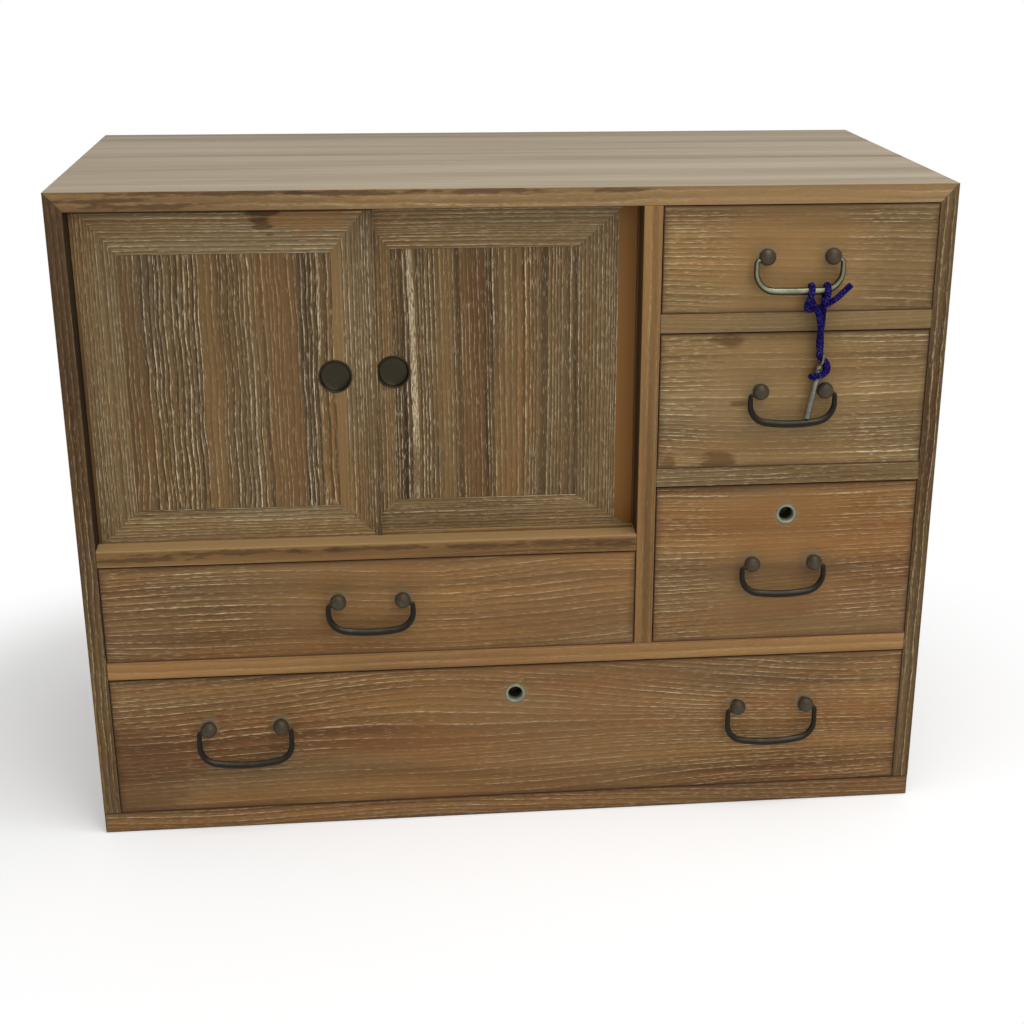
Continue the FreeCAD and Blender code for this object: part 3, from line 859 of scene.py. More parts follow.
def node_group(name: str, inputs: dict[str, str], output: str) -> tuple[Tree, dict[str, str]]:
    """Start a geometry node tree.

    Args:
        name: The tree's name.
        inputs: The kind of each named input.
        output: The name of what the tree makes.

    Returns:
        The tree, and the identifiers of its named inputs.
    """
    group = bpy.data.node_groups.new(name, "GeometryNodeTree")
    names = {}
    for key, kind in inputs.items():
        socket = group.interface.new_socket(key, in_out="INPUT", socket_type=f"NodeSocket{kind}")
        names[key] = socket.identifier
    group.interface.new_socket(output, in_out="OUTPUT", socket_type="NodeSocketGeometry")
    return Tree(group), names


def end_group(tree: Tree, made: Wire, material: Wire) -> None:
    """End a geometry node tree in plain faces of one material.

    Args:
        tree: The tree.
        made: The geometry that it has made.
        material: The input that holds the material.
    """
    whole = tree.node("GeometryNodeRealizeInstances", values={"Geometry": made})["Geometry"]
    done = tree.node("GeometryNodeSetMaterial", values={"Geometry": whole, "Material": material})
    tree.node("NodeGroupOutput", values={0: done["Geometry"]})


def evaluated_mesh(item: bpy.types.Object) -> bpy.types.Mesh:
    """Return an object as a plain mesh, with its modifiers done.

    Args:
        item: The object.

    Returns:
        The mesh.
    """
    bpy.context.view_layer.update()
    done = item.evaluated_get(bpy.context.evaluated_depsgraph_get())
    return bpy.data.meshes.new_from_object(done)


def grown_mesh(seed: bpy.types.Object, tree: Tree, names: dict[str, str],
               sizes: dict[str, Any]) -> bpy.types.Mesh:
    """Run a geometry node tree on an object and keep only what it makes.

    Args:
        seed: The object that the tree starts from, which is removed.
        tree: The tree.
        names: The identifiers of its named inputs.
        sizes: The value of each input.

    Returns:
        The result as a plain mesh.
    """
    modifier = seed.modifiers.new(tree.tree.name, "NODES")
    modifier.node_group = tree.tree
    for name, size in sizes.items():
        modifier[names[name]] = size
    mesh = evaluated_mesh(seed)
    bpy.data.objects.remove(seed)
    return mesh


@dataclass
class Board:
    """A packed board copied with eased edges, in its own wood."""

    node: str
    body: str
    slot: str
    finish: WoodFinish
    ease: float
    merge: float = 1e-6
    flat: float = math.radians(1.0)
    sharp: float = math.radians(40.0)

    def mesh(self) -> bpy.types.Mesh:
        """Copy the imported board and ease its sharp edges.

        Returns:
            The eased mesh.
        """
        bm = bmesh.new()
        bm.from_mesh(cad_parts[self.node].data)
        bmesh.ops.remove_doubles(bm, verts=bm.verts, dist=self.merge)
        bmesh.ops.dissolve_limit(bm, angle_limit=self.flat, verts=bm.verts, edges=bm.edges)
        sharp = [edge for edge in bm.edges
                 if len(edge.link_faces) == 2 and edge.calc_face_angle() > self.sharp]
        bmesh.ops.bevel(bm, geom=sharp, offset=self.ease, segments=2, profile=0.6, affect="EDGES",
                        clamp_overlap=True)
        return mesh_from(bm)

    def dress(self) -> bpy.types.Object:
        """Put the board in the scene in place of its node."""
        material = self.finish.material(*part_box(self.node))
        return add_piece(f"eased_{self.node}", self.mesh(), material, self.body, [self.node])


HONEY = WoodFinish(
    "honey_wood", Grain.SIDEWAYS, shown(106, 72, 36), shown(142, 105, 60), shown(162, 121, 70),
    greying=0.15, filled=0.22, late=0.2, fibre=0.4, pith=(0.9, 0.5), ring_gap=0.005, plain=0.7)
BROWN = WoodFinish(
    "drawer_wood", Grain.SIDEWAYS, shown(112, 85, 49), shown(145, 116, 72), shown(165, 132, 82),
    grey=shown(138, 118, 84), greying=0.45, blushing=0.3, filler=shown(222, 202, 162), filled=0.78,
    line_width=0.14, pith=(-0.5, 0.25), wander=0.05, wave=0.0008, uneven=2.2, late=0.3, fibre=0.75,
    dash=140.0, plain=0.6)
GINGER = replace(
    BROWN, dark=shown(102, 68, 34), middle=shown(138, 100, 56), warm=shown(158, 115, 64),
    grey=shown(126, 106, 74), greying=0.4, blush=shown(142, 92, 48), blushing=0.45, filled=0.72)
DOOR = WoodFinish(
    "door_wood", Grain.UPRIGHT, shown(82, 59, 33), shown(115, 89, 53), shown(138, 98, 50),
    grey=shown(112, 94, 65), greying=0.6, filler=shown(222, 204, 168), filled=0.92, line_width=0.2,
    pith=(-0.9, 0.15), wander=0.02, wave=0.0024, late=0.58, fibre=0.75, plain=0.3)
DOOR_FRAME = replace(
    DOOR, dark=shown(94, 70, 40), middle=shown(129, 101, 62), warm=shown(142, 108, 63),
    grey=shown(130, 109, 76), filled=0.75, late=0.4, wander=0.006, wave=0.0008, ring_gap=0.003,
    line_width=0.18)
EDGE = WoodFinish(
    "edge_wood", Grain.UPRIGHT, shown(74, 48, 22), shown(109, 81, 45), shown(130, 96, 54),
    greying=0.3, filled=0.5, late=0.36, pith=(0.05, 0.6), ring_gap=0.0023, wander=0.006)
PLAIN = WoodFinish(
    "plain_wood", Grain.INWARDS, shown(150, 118, 70), shown(172, 138, 86), shown(186, 152, 98),
    greying=0.1, filled=0.1, late=0.2, fibre=0.25, relief=0.12, pith=(0.5, 0.3))

# The bails' irons carry painted shade on the sides away from the lamps; the studs' iron has none.
IRON = MetalFinish(
    "dark_iron", shown(60, 54, 41), shown(98, 90, 70), shown(56, 47, 32), metallic=0.3, rough=0.36,
    rub=0.3, aged=0.25, dents=0.1, grime_and_shade=shown(20, 15, 8), painted_shading=0.9, lit_angle=math.radians(65.0), shine=0.25)
WORN_IRON = replace(
    IRON, name="worn_iron", skin=shown(126, 127, 104), rubbed=shown(162, 165, 140),
    patina=shown(104, 98, 74), metallic=0.6, rough=0.3, rub=0.4, dents=0.04, grime_and_shade=shown(54, 43, 26),
    painted_shading=0.95, lit_angle=math.radians(17.0), lit_start=0.7)
STUD_IRON = replace(
    IRON, name="stud_iron", skin=shown(66, 57, 40), rubbed=shown(106, 94, 72), patina=shown(78, 60, 40),
    rough=0.5, dents=0.3, painted_shading=0.0, shine=0.4)
CUP_METAL = MetalFinish(
    "cup_metal", shown(54, 48, 33), shown(78, 70, 52), shown(52, 44, 29), rough=0.42, rub=0.25, aged=0.3,
    dents=0.1)
RING_METAL = MetalFinish(
    "ring_metal", shown(140, 141, 118), shown(170, 168, 144), shown(120, 130, 112), metallic=0.45,
    rough=0.5, aged=0.6, dents=0.15)
LOCK_STEEL = MetalFinish(
    "lock_steel", shown(96, 92, 84), shown(130, 126, 116), shown(92, 72, 48), rough=0.5, dents=0.15)
KEY_STEEL = MetalFinish(
    "key_steel", shown(116, 111, 100), shown(166, 162, 150), shown(100, 90, 72), rough=0.4, aged=0.3,
    dents=0.12)
INDIGO = CordFinish("indigo_cord", shown(2, 0, 40), shown(14, 0, 96), shown(118, 104, 188))


@dataclass(frozen=True)
class Lamp:
    """A soft square lamp, by its place, what it points at, its side in metres and its power."""

    name: str
    place: Point
    target: Point
    size: float
    watts: float

    def hang(self) -> None:
        """Put the lamp in the scene."""
        data = bpy.data.lights.new(self.name, "AREA")
        data.size = self.size
        data.energy = self.watts
        lamp = put(self.name, data)
        lamp.location = self.place
        aim = Vector(self.target) - Vector(self.place)
        lamp.rotation_euler = aim.to_track_quat("-Z", "Y").to_euler()


@dataclass
class Studio:
    """The camera at the photograph's view, soft lamps, a pale floor and a white surround."""

    place: Point = (-0.1165, -1.5875, 0.8022)
    turn_degrees: Point = (69.107, -0.35, -6.228)
    lens: float = 59.36
    sensor: float = 36.0
    shift: tuple[float, float] = (-0.0463, 0.0390)
    lamps: tuple[Lamp, ...] = (Lamp("overhead", (0.45, -0.6, 2.3), (0.0, 0.0, 0.3), 1.5, 26.0),
                               Lamp("front", (0.7, -2.6, 1.5), (0.0, -0.2, 0.3), 1.8, 16.0))
    soft_light: float = 0.42
    floor_reach: float = 9.0
    floor_drop: float = 0.0004
    floor_tone: Colour = (0.86, 0.86, 0.86)
    floor_lift: float = 0.28
    shadow_reach: tuple[float, float] = (0.75, 0.55)

    def add_camera(self) -> None:
        """Make the camera and set it as the scene's own."""
        data = bpy.data.cameras.new("view")
        data.sensor_fit = "HORIZONTAL"
        data.sensor_width = self.sensor
        data.lens = self.lens
        data.shift_x, data.shift_y = self.shift
        camera = put("view", data)
        camera.location = self.place
        camera.rotation_euler = [math.radians(angle) for angle in self.turn_degrees]
        bpy.context.scene.camera = camera

    def add_surround(self) -> None:
        """Make the world white to the eye, and a soft light to everything else."""
        world = bpy.data.worlds.new("surround")
        bpy.context.scene.world = world
        tree = emptied(world)
        path = tree.node("ShaderNodeLightPath")
        seen = path["Is Camera Ray"].larger(path["Is Transmission Ray"])
        soft, white = (tree.node("ShaderNodeBackground", values={"Color": WHITE, "Strength": strength})
                       for strength in (self.soft_light, 1.0))
        both = tree.node("ShaderNodeMixShader",
                         values={0: seen, 1: soft["Background"], 2: white["Background"]})
        tree.node("ShaderNodeOutputWorld", values={"Surface": both["Shader"]})

    def add_floor(self) -> None:
        """Lay the floor, which is white where the light reaches and keeps the chest's shadow."""
        bm = bmesh.new()
        bmesh.ops.create_grid(bm, x_segments=1, y_segments=1, size=self.floor_reach)
        floor = put("floor", mesh_from(bm))
        floor.location.z = -self.floor_drop
        floor.data.materials.append(self.floor_material())

    def floor_material(self) -> bpy.types.Material:
        """Make the floor's white: matt under the chest and pure further out.

        Returns:
            The material.
        """
        paint = Paint("floor_white")
        tree = paint.tree
        path = tree.node("ShaderNodeLightPath")
        seen = path["Is Camera Ray"].larger(path["Is Glossy Ray"]).larger(path["Is Transmission Ray"])
        x, y, _ = paint.parts()
        far = tree.length(x / self.shadow_reach[0], y / self.shadow_reach[1]).rise(0.75, 1.1)
        matt = tree.node("ShaderNodeBsdfDiffuse", values={"Color": self.floor_tone})
        lift, white = (tree.node("ShaderNodeEmission", values={"Color": WHITE, "Strength": strength})
                       for strength in (seen * self.floor_lift, 1.0))
        near = tree.node("ShaderNodeAddShader", values={0: matt["BSDF"], 1: lift["Emission"]})
        both = tree.node("ShaderNodeMixShader",
                         values={0: seen * far, 1: near["Shader"], 2: white["Emission"]})
        tree.node("ShaderNodeOutputMaterial", values={"Surface": both["Shader"]})
        return paint.material

    def light(self) -> None:
        """Lay the surround and floor and hang the lamps."""
        self.add_surround()
        self.add_floor()
        for lamp in self.lamps:
            lamp.hang()


@dataclass
class Lanyard:
    """The key's cord: a hitch on the upper bail, a free tail and a doubled strand with the key."""

    grip: Point = (0.2428, -0.194, 0.49626)
    diameter: float = 0.005
    length: float = 0.294
    strands: int = 4
    lay_share: float = 0.74
    yarn_share: float = 0.36
    weave_share: float = 0.08
    turns: float = 85.0
    step: float = 0.0007
    yarn_sides: int = 6
    core_sides: int = 10
    route: tuple[Point, ...] = (
        (0.0435, -0.0065, 0.0075), (0.037, -0.0058, 0.0008), (0.031, -0.0044, -0.0052),
        (0.025, -0.002, -0.01), (0.02, 0.0006, -0.013), (0.0144, 0.0036, -0.015),
        (0.0094, 0.002, -0.0156), (0.0064, -0.0042, -0.011), (0.0084, -0.0068, -0.0044),
        (0.0104, -0.006, 0.0015), (0.011, -0.003, 0.0062), (0.0112, 0.003, 0.0062),
        (0.0118, 0.006, 0.0015), (0.0122, 0.0054, -0.0054), (0.0126, -0.001, -0.0094),
        (0.0166, -0.0058, -0.015), (0.0192, -0.0058, -0.027), (0.0204, -0.0058, -0.04),
        (0.0206, -0.0054, -0.048), (0.0202, -0.0024, -0.0564), (0.0286, 0.0014, -0.0612),
        (0.0288, -0.0048, -0.0666), (0.0242, -0.0062, -0.0712), (0.0186, -0.0058, -0.072),
        (0.0146, -0.0014, -0.0734), (0.0174, 0.0048, -0.0752), (0.0246, 0.0068, -0.0728),
        (0.0284, 0.0068, -0.066), (0.0248, 0.0066, -0.0562), (0.0218, 0.0054, -0.048),
        (0.0216, 0.0036, -0.04), (0.0226, 0.0016, -0.027), (0.0234, 0.0038, -0.016),
        (0.0246, 0.0062, -0.007), (0.0248, 0.006, 0.0015), (0.0248, 0.003, 0.0062),
        (0.0248, -0.003, 0.0062), (0.0246, -0.006, 0.0015), (0.0236, -0.0064, -0.0036),
        (0.0204, -0.0052, -0.0076),
    )
    ring_place: Point = (0.2664, -0.194, 0.43756)
    ring_radius: float = 0.005
    ring_wire: float = 0.0011
    ring_steps: int = 40
    ring_sides: int = 12
    rod_radius: float = 0.0029
    rod_sides: int = 20
    rod_head: Profile = ((0.0, 0.6), (0.0008, 0.9), (0.0018, 1.0), (0.004, 1.0), (0.0044, 0.9),
                         (0.0052, 0.9), (0.0056, 1.0))
    rod_tip: Profile = ((0.0008, 1.0), (0.0002, 0.8), (0.0, 0.55))
    tilt: float = math.radians(11.0)

    def line(self) -> bpy.types.Object:
        """Lay the cord's middle line as a smooth curve along its route.

        Returns:
            The curve's object.
        """
        data = bpy.data.curves.new("cord_line", "CURVE")
        data.dimensions = "3D"
        data.resolution_u = 16
        spline = data.splines.new("NURBS")
        spline.points.add(len(self.route) - 1)
        for point, place in zip(spline.points, self.route):
            point.co = (*(Vector(self.grip) + Vector(place)), 1.0)
        spline.order_u = 3
        spline.use_endpoint_u = True
        return put("cord_line", data)

    @staticmethod
    def swept(tree: Tree, line: Wire, radius: Wire, sides: int) -> Wire:
        """Return a round rod along a curve.

        Args:
            tree: The geometry node tree.
            line: The curve.
            radius: The rod's radius.
            sides: How many sides its section has.

        Returns:
            The rod's mesh.
        """
        section = tree.node("GeometryNodeCurvePrimitiveCircle",
                            values={"Resolution": sides, "Radius": radius})["Curve"]
        return tree.node("GeometryNodeCurveToMesh",
                         values={"Curve": line, "Profile Curve": section, "Fill Caps": True})["Mesh"]

    def braid_tree(self) -> tuple[Tree, dict[str, str]]:
        """Build the tree that lays yarns over and under each other along a curve.

        Returns:
            The tree, and the identifiers of its named inputs.
        """
        tree, names = node_group("braid", {
            "Line": "Geometry", "Lay radius": "Float", "Yarn radius": "Float", "Weave depth": "Float",
            "Turns": "Float", "Step": "Float", "Yarn": "Material"}, "Cord")
        given = tree.node("NodeGroupInput")
        line = tree.node("GeometryNodeResampleCurve", {"mode": "LENGTH"},
                         {"Curve": given["Line"], "Length": given["Step"]})["Curve"]
        line = tree.node("GeometryNodeSetCurveNormal", {"mode": "MINIMUM_TWIST"}, {"Curve": line})["Curve"]
        run = tree.node("GeometryNodeSplineParameter")["Length"]
        normal = tree.node("GeometryNodeInputNormal")["Normal"]
        tangent = tree.node("GeometryNodeInputTangent")["Tangent"]
        sideways = tree.vector("CROSS_PRODUCT", tangent, normal)
        yarns = []
        for hand in (1, -1):
            for index in range(self.strands):
                start = math.tau * (index + 0.25 * hand) / self.strands
                angle = run * given["Turns"] * (hand * math.tau) + start
                weave = tree.math("COSINE", angle * float(self.strands)) * given["Weave depth"]
                radius = given["Lay radius"] + weave * float(hand)
                out = tree.vector("ADD", tree.scaled(normal, tree.math("COSINE", angle) * radius),
                                  tree.scaled(sideways, tree.math("SINE", angle) * radius))
                laid = tree.node("GeometryNodeSetPosition", values={"Geometry": line, "Offset": out})
                yarn = self.swept(tree, laid["Geometry"], given["Yarn radius"], self.yarn_sides)
                share = (index * 2 + (hand + 1) / 2) / (2 * self.strands)
                yarn = tree.node("GeometryNodeStoreNamedAttribute", {"data_type": "FLOAT"},
                                 {"Geometry": yarn, "Name": "strand", "Value": share})["Geometry"]
                yarns.append(yarn)
        core = self.swept(tree, line, given["Lay radius"], self.core_sides)
        whole = tree.node("GeometryNodeJoinGeometry", values={0: [*yarns, core]})["Geometry"]
        end_group(tree, whole, given["Yarn"])
        return tree, names

    def dress(self) -> None:
        curve = self.line()
        path = [tuple(vertex.co) for vertex in evaluated_mesh(curve).vertices]
        tree, names = self.braid_tree()
        material = INDIGO.material()
        radius = self.diameter / 2
        mesh = grown_mesh(curve, tree, names, {
            "Lay radius": radius * self.lay_share, "Yarn radius": radius * self.yarn_share,
            "Weave depth": radius * self.weave_share, "Turns": self.turns, "Step": self.step,
            "Yarn": material})
        mesh.shade_smooth()
        cord = add_piece("braided_cord", mesh, material, "key_lanyard", ["key_cord"])
        key = self.dress_key()

    def dress_key(self) -> bpy.types.Object:
        """Put the key in the scene: a rod with a chamfered tip under a ring of wire.

        Returns:
            The key's object.
        """
        down = Vector((-math.sin(self.tilt), 0.0, -math.cos(self.tilt)))
        back = Vector((0.0, 1.0, 0.0))
        middle = Vector(self.ring_place)
        turns = [math.tau * step / self.ring_steps for step in range(self.ring_steps)]
        line = [middle + self.ring_radius * (math.cos(turn) * down + math.sin(turn) * back)
                for turn in turns]
        ring = rod_mesh(line, [self.ring_wire] * len(line), down.cross(back), self.ring_sides, hoop=True)
        start = middle + down * self.ring_radius
        low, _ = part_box("key")
        length = (start.z - low.z - self.rod_radius * math.sin(self.tilt)) / math.cos(self.tilt)
        shares = [*self.rod_head, *((length - reach, share) for reach, share in self.rod_tip)]
        points = [start + down * reach for reach, _ in shares]
        rod = rod_mesh(points, [self.rod_radius * share for _, share in shares], back, self.rod_sides)
        return add_piece("steel_key", joined([ring, rod]), KEY_STEEL.material(), "key_lanyard",
                         ["key"])


@dataclass
class Case:
    """The boards of the case, with its back and drawer stops."""

    ease: float = 0.001
    back_planks: int = 3
    plank_seam: float = 0.0016
    streak_height: float = 0.003
    front_depth: float = -0.180
    shade_depth: float = -0.178
    gap_shade_depth: float = -0.158
    bruise: Colour = shown(70, 46, 24)

    def boards(self) -> list[Board]:
        """Choose the wood of each board.

        Returns:
            The boards.
        """
        shade = Mark(-0.3725, 0.50, 0.04, 0.13, shown(66, 41, 18), 0.6, 0.3, self.shade_depth)
        # Painted shade: the inner faces of the left side and the partition go nearly black just behind the
        # front, where the gaps beside the doors lie in shadow.
        gap_shade = Mark(-0.3638, 0.42, 0.0022, 0.6, shown(22, 15, 8), 0.9, 0.0, self.gap_shade_depth)
        woods = {
            "top_board": replace(
                HONEY, seed=3.1, dark=shown(110, 78, 42), middle=shown(146, 114, 72),
                warm=shown(164, 130, 84), top_dust_and_sheen=0.62, rough=0.5, filled=0.4, marks=self.top_marks()),
            "bottom_board": replace(
                GINGER, seed=5.7, middle=shown(132, 94, 52), filled=0.6, edge_grime_and_shade=0.2),
            "left_side_board": replace(EDGE, seed=1.3, marks=(shade, gap_shade)),
            "right_side_board": replace(EDGE, seed=2.9),
            "centre_partition": replace(
                HONEY, seed=6.1, grain=Grain.UPRIGHT, marks=(replace(gap_shade, x=0.1083),)),
            "lower_shelf": replace(
                HONEY, seed=4.4, dark=shown(126, 87, 47), middle=shown(162, 119, 70),
                warm=shown(173, 130, 78)),
            "cupboard_shelf": replace(HONEY, seed=8.2, marks=self.sill_marks()),
            "lower_right_shelf": replace(
                BROWN, seed=9.3, middle=shown(128, 100, 61), grey=shown(126, 106, 74), greying=0.5),
            "upper_right_shelf": replace(
                BROWN, seed=7.7, filled=0.5, dark=shown(104, 78, 44), middle=shown(130, 104, 66),
                warm=shown(148, 118, 74), grey=shown(128, 108, 76), blushing=0.15),
        }
        return [Board(node, "case", "case_wood", replace(wood, name=f"{node}_wood"), self.ease)
                for node, wood in woods.items()]

    def top_marks(self) -> tuple[Mark, ...]:
        """Set out the wear on the front edge of the top.

        Returns:
            The dull left part and the dark streaks.
        """
        dull = Mark(-0.27, 0.578, 0.18, 0.03, shown(102, 75, 42), 0.35, 0.5, self.front_depth)
        return (dull, *self.streaks("top_board", (
            (-0.24, 0.002, 0.10), (-0.13, 0.003, 0.07), (-0.02, 0.002, 0.06), (-0.34, 0.007, 0.05),
            (0.09, 0.003, 0.03), (-0.30, 0.012, 0.06))))

    def sill_marks(self) -> tuple[Mark, ...]:
        """Set out the wear and the painted light on the cupboard's sill.

        Returns:
            The pale worn edge with painted light on the sill's top face, and the dark streaks.
        """
        _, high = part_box("cupboard_shelf")
        # Partly wear, partly painted light: the sill's top face and the top of its front edge turn pale, as
        # if lit from above.
        worn = Mark(-0.12, high.z, 0.6, 0.0022, shown(176, 146, 100), 0.6, 0.3)
        return (worn, *self.streaks("cupboard_shelf", (
            (0.06, 0.005, 0.09), (-0.03, 0.006, 0.05), (-0.25, 0.005, 0.10), (-0.33, 0.009, 0.05),
            (-0.13, 0.005, 0.07), (0.10, 0.009, 0.04))))

    def streaks(self, node: str, places: Sequence[Point]) -> tuple[Mark, ...]:
        """Set out dark streaks along the front of a board.

        Args:
            node: The board's node.
            places: Each streak's place in X, its drop below the board's top and its half width.

        Returns:
            The streaks.
        """
        _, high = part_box(node)
        return tuple(Mark(x, high.z - drop, wide, self.streak_height, self.bruise, 0.6, 1.2,
                          self.front_depth) for x, drop, wide in places)

    def back_seams(self) -> tuple[Mark, ...]:
        """Set out the dark seams between the planks of the back.

        Returns:
            The seams.
        """
        low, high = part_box("back_boards")
        plank = (high.z - low.z) / self.back_planks
        return tuple(Mark(0.0, low.z + plank * step, 1.0, self.plank_seam, shown(52, 36, 18), 0.85, 0.0)
                     for step in range(1, self.back_planks))

    def dress(self) -> None:
        """Put the boards of the case in the scene and dress the back and the stops."""
        for board in self.boards():
            board.dress()
        sideways = replace(PLAIN, grain=Grain.SIDEWAYS)
        for node, marks in (("back_boards", self.back_seams()), ("drawer_stops", ())):
            wood = replace(sideways, name=f"{node}_wood", marks=marks)
            dress_node(node, wood.material(*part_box(node)))


@dataclass(frozen=True)
class Zone:
    """A plainer part of a door's panel, between two shares of its width."""

    start: float
    end: float
    colour: Colour
    amount: float


@dataclass
class Door:
    """A sliding door: mitred frame, panel and cup pull."""

    name: str
    seed: float
    wave: float
    strips: tuple[Band, ...]
    zones: tuple[Zone, ...]
    marks: tuple[Mark, ...] = ()
    ease: float = 0.00015
    pull_rim: Profile = ((0.0012, 0.0008), (0.0, 0.0008), (0.0, 0.0004), (0.0004, 0.0001), (0.0009, 0.0),
                         (0.0014, 0.0002), (0.0018, 0.0009), (0.0022, 0.0026), (0.003, 0.0033),
                         (0.006, 0.0036))
    pull_depth: float = 0.0037
    pull_sides: int = 64

    def panel_bands(self) -> tuple[Band, ...]:
        """Set out the panel's plainer zones.

        Returns:
            A band for each zone.
        """
        low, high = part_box(f"{self.name}_panel")
        width = high.x - low.x
        return tuple(Band(low.x + zone.start * width, low.x + zone.end * width, zone.colour,
                          amount=zone.amount, smooth=0.6 * zone.amount, soft=0.008) for zone in self.zones)

    def painted_top_shadows(self) -> tuple[Mark, ...]:
        """Set out the painted shadow along the door's top, under the top board.

        Returns:
            The painted shadow band and the painted dark line of shadow under the top board.
        """
        low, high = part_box(f"{self.name}_rails")
        middle, reach = (low.x + high.x) / 2, high.x - low.x
        # Painted shadows: a soft dark band where the top board shades the door, and a darker thin line at
        # its edge.
        return (Mark(middle, high.z + 0.002, reach, 0.013, shown(58, 42, 24), 0.55, 0.1),
                Mark(middle, high.z - 0.0082, reach, 0.0026, shown(34, 24, 13), 0.85, 0.1))

    def dress(self) -> None:
        """Put the door's pieces in the scene."""
        top_shadows = self.painted_top_shadows()
        woods = {
            "stiles": replace(
                DOOR_FRAME, name=f"{self.name}_stile_wood", seed=self.seed, wander=0.004,
                bands=self.strips, marks=top_shadows),
            "rails": replace(
                DOOR_FRAME, name=f"{self.name}_rail_wood", seed=self.seed + 2.0, grain=Grain.SIDEWAYS,
                middle=shown(146, 118, 78), grey=shown(148, 128, 94), greying=0.7, pith=(-0.6, 0.2),
                marks=self.marks + top_shadows),
            "panel": replace(
                DOOR, name=f"{self.name}_panel_wood", seed=self.seed + 4.0, wave=self.wave,
                bands=self.panel_bands()),
        }
        for part, wood in woods.items():
            Board(f"{self.name}_{part}", self.name, "door_wood", wood, self.ease).dress()
        self.dress_pull()

    def dress_pull(self) -> None:
        """Turn the pull's rim and hollow."""
        node = f"{self.name}_pull"
        low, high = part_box(node)
        centre = middle_of(node)
        centre.y = 0.0
        radius = (high.x - low.x) / 2
        profile = [(0.0, high.y), (radius - self.pull_rim[0][0], high.y),
                   *((radius - inset, low.y + drop) for inset, drop in self.pull_rim),
                   (0.0, low.y + self.pull_depth)]
        add_piece(f"turned_{node}", turned_mesh(profile, centre, self.pull_sides), CUP_METAL.material(),
                  self.name, [node])


def arc(centre: tuple[float, float], radius: float, start: float, end: float,
        steps: int) -> list[tuple[float, float]]:
    """Return the points of an arc after its first one.

    Args:
        centre: The arc's centre in X and Z.
        radius: Its radius.
        start: Where it starts, as an angle from straight down towards +X.
        end: Where it ends.
        steps: How many points it has.

    Returns:
        The points in X and Z.
    """
    turns = [start + (end - start) * step / steps for step in range(1, steps + 1)]
    return [(centre[0] + radius * math.sin(turn), centre[1] - radius * math.cos(turn)) for turn in turns]


@dataclass
class Bail:
    """A bent iron handle: thin ends in the studs, a thicker grip."""

    name: str
    finish: MetalFinish
    bow: float
    corner: float = 0.017
    thin: float = 0.0020
    thick: float = 0.0033
    sides: int = 36
    leg_inset: float = 0.0028
    lift: float = 0.0006
    drop: float = 0.0021
    elbow: float = 0.0024
    pin: float = 0.0042
    taper: tuple[float, float] = (0.2, 0.7)

    def line(self) -> list[Vector]:
        """Bend the middle line of the rod from the left stud to the right one.

        Returns:
            The line's points.
        """
        low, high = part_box(self.name)
        middle, y = (low.x + high.x) / 2, (low.y + high.y) / 2
        leg = (high.x - low.x) / 2 - self.leg_inset
        bottom = low.z + self.thick + self.lift
        top = high.z - self.drop
        quarter = math.pi / 2
        lean = math.asin((leg - self.corner) / (self.bow - self.corner))
        centre = (leg - self.corner, bottom + self.bow - (self.bow - self.corner) * math.cos(lean))
        run = top - self.elbow - centre[1]
        half = [(0.0, bottom),
                *arc((0.0, bottom + self.bow), self.bow, 0.0, lean, 10),
                *arc(centre, self.corner, lean, quarter, 10),
                *((leg, centre[1] + run * share) for share in (0.35, 0.7, 1.0)),
                *arc((leg - self.elbow, top - self.elbow), self.elbow, quarter, math.pi, 6),
                (leg - self.elbow - self.pin, top)]
        both = [(-x, z) for x, z in reversed(half[1:])] + half
        return [Vector((middle + x, y, z)) for x, z in both]

    def dress(self) -> None:
        """Put the bail in the scene."""
        points = self.line()
        last = len(points) - 1
        start, end = self.taper
        radii = []
        for index in range(last + 1):
            near = 1 - abs(2 * index / last - 1)
            grown = min(1.0, max(0.0, (near - start) / (end - start)))
            radii.append(self.thin + (self.thick - self.thin) * grown)
        mesh = rod_mesh(points, radii, Vector((0.0, 1.0, 0.0)), self.sides)
        add_piece(f"bent_{self.name}", mesh, self.finish.material(), self.name, [self.name])


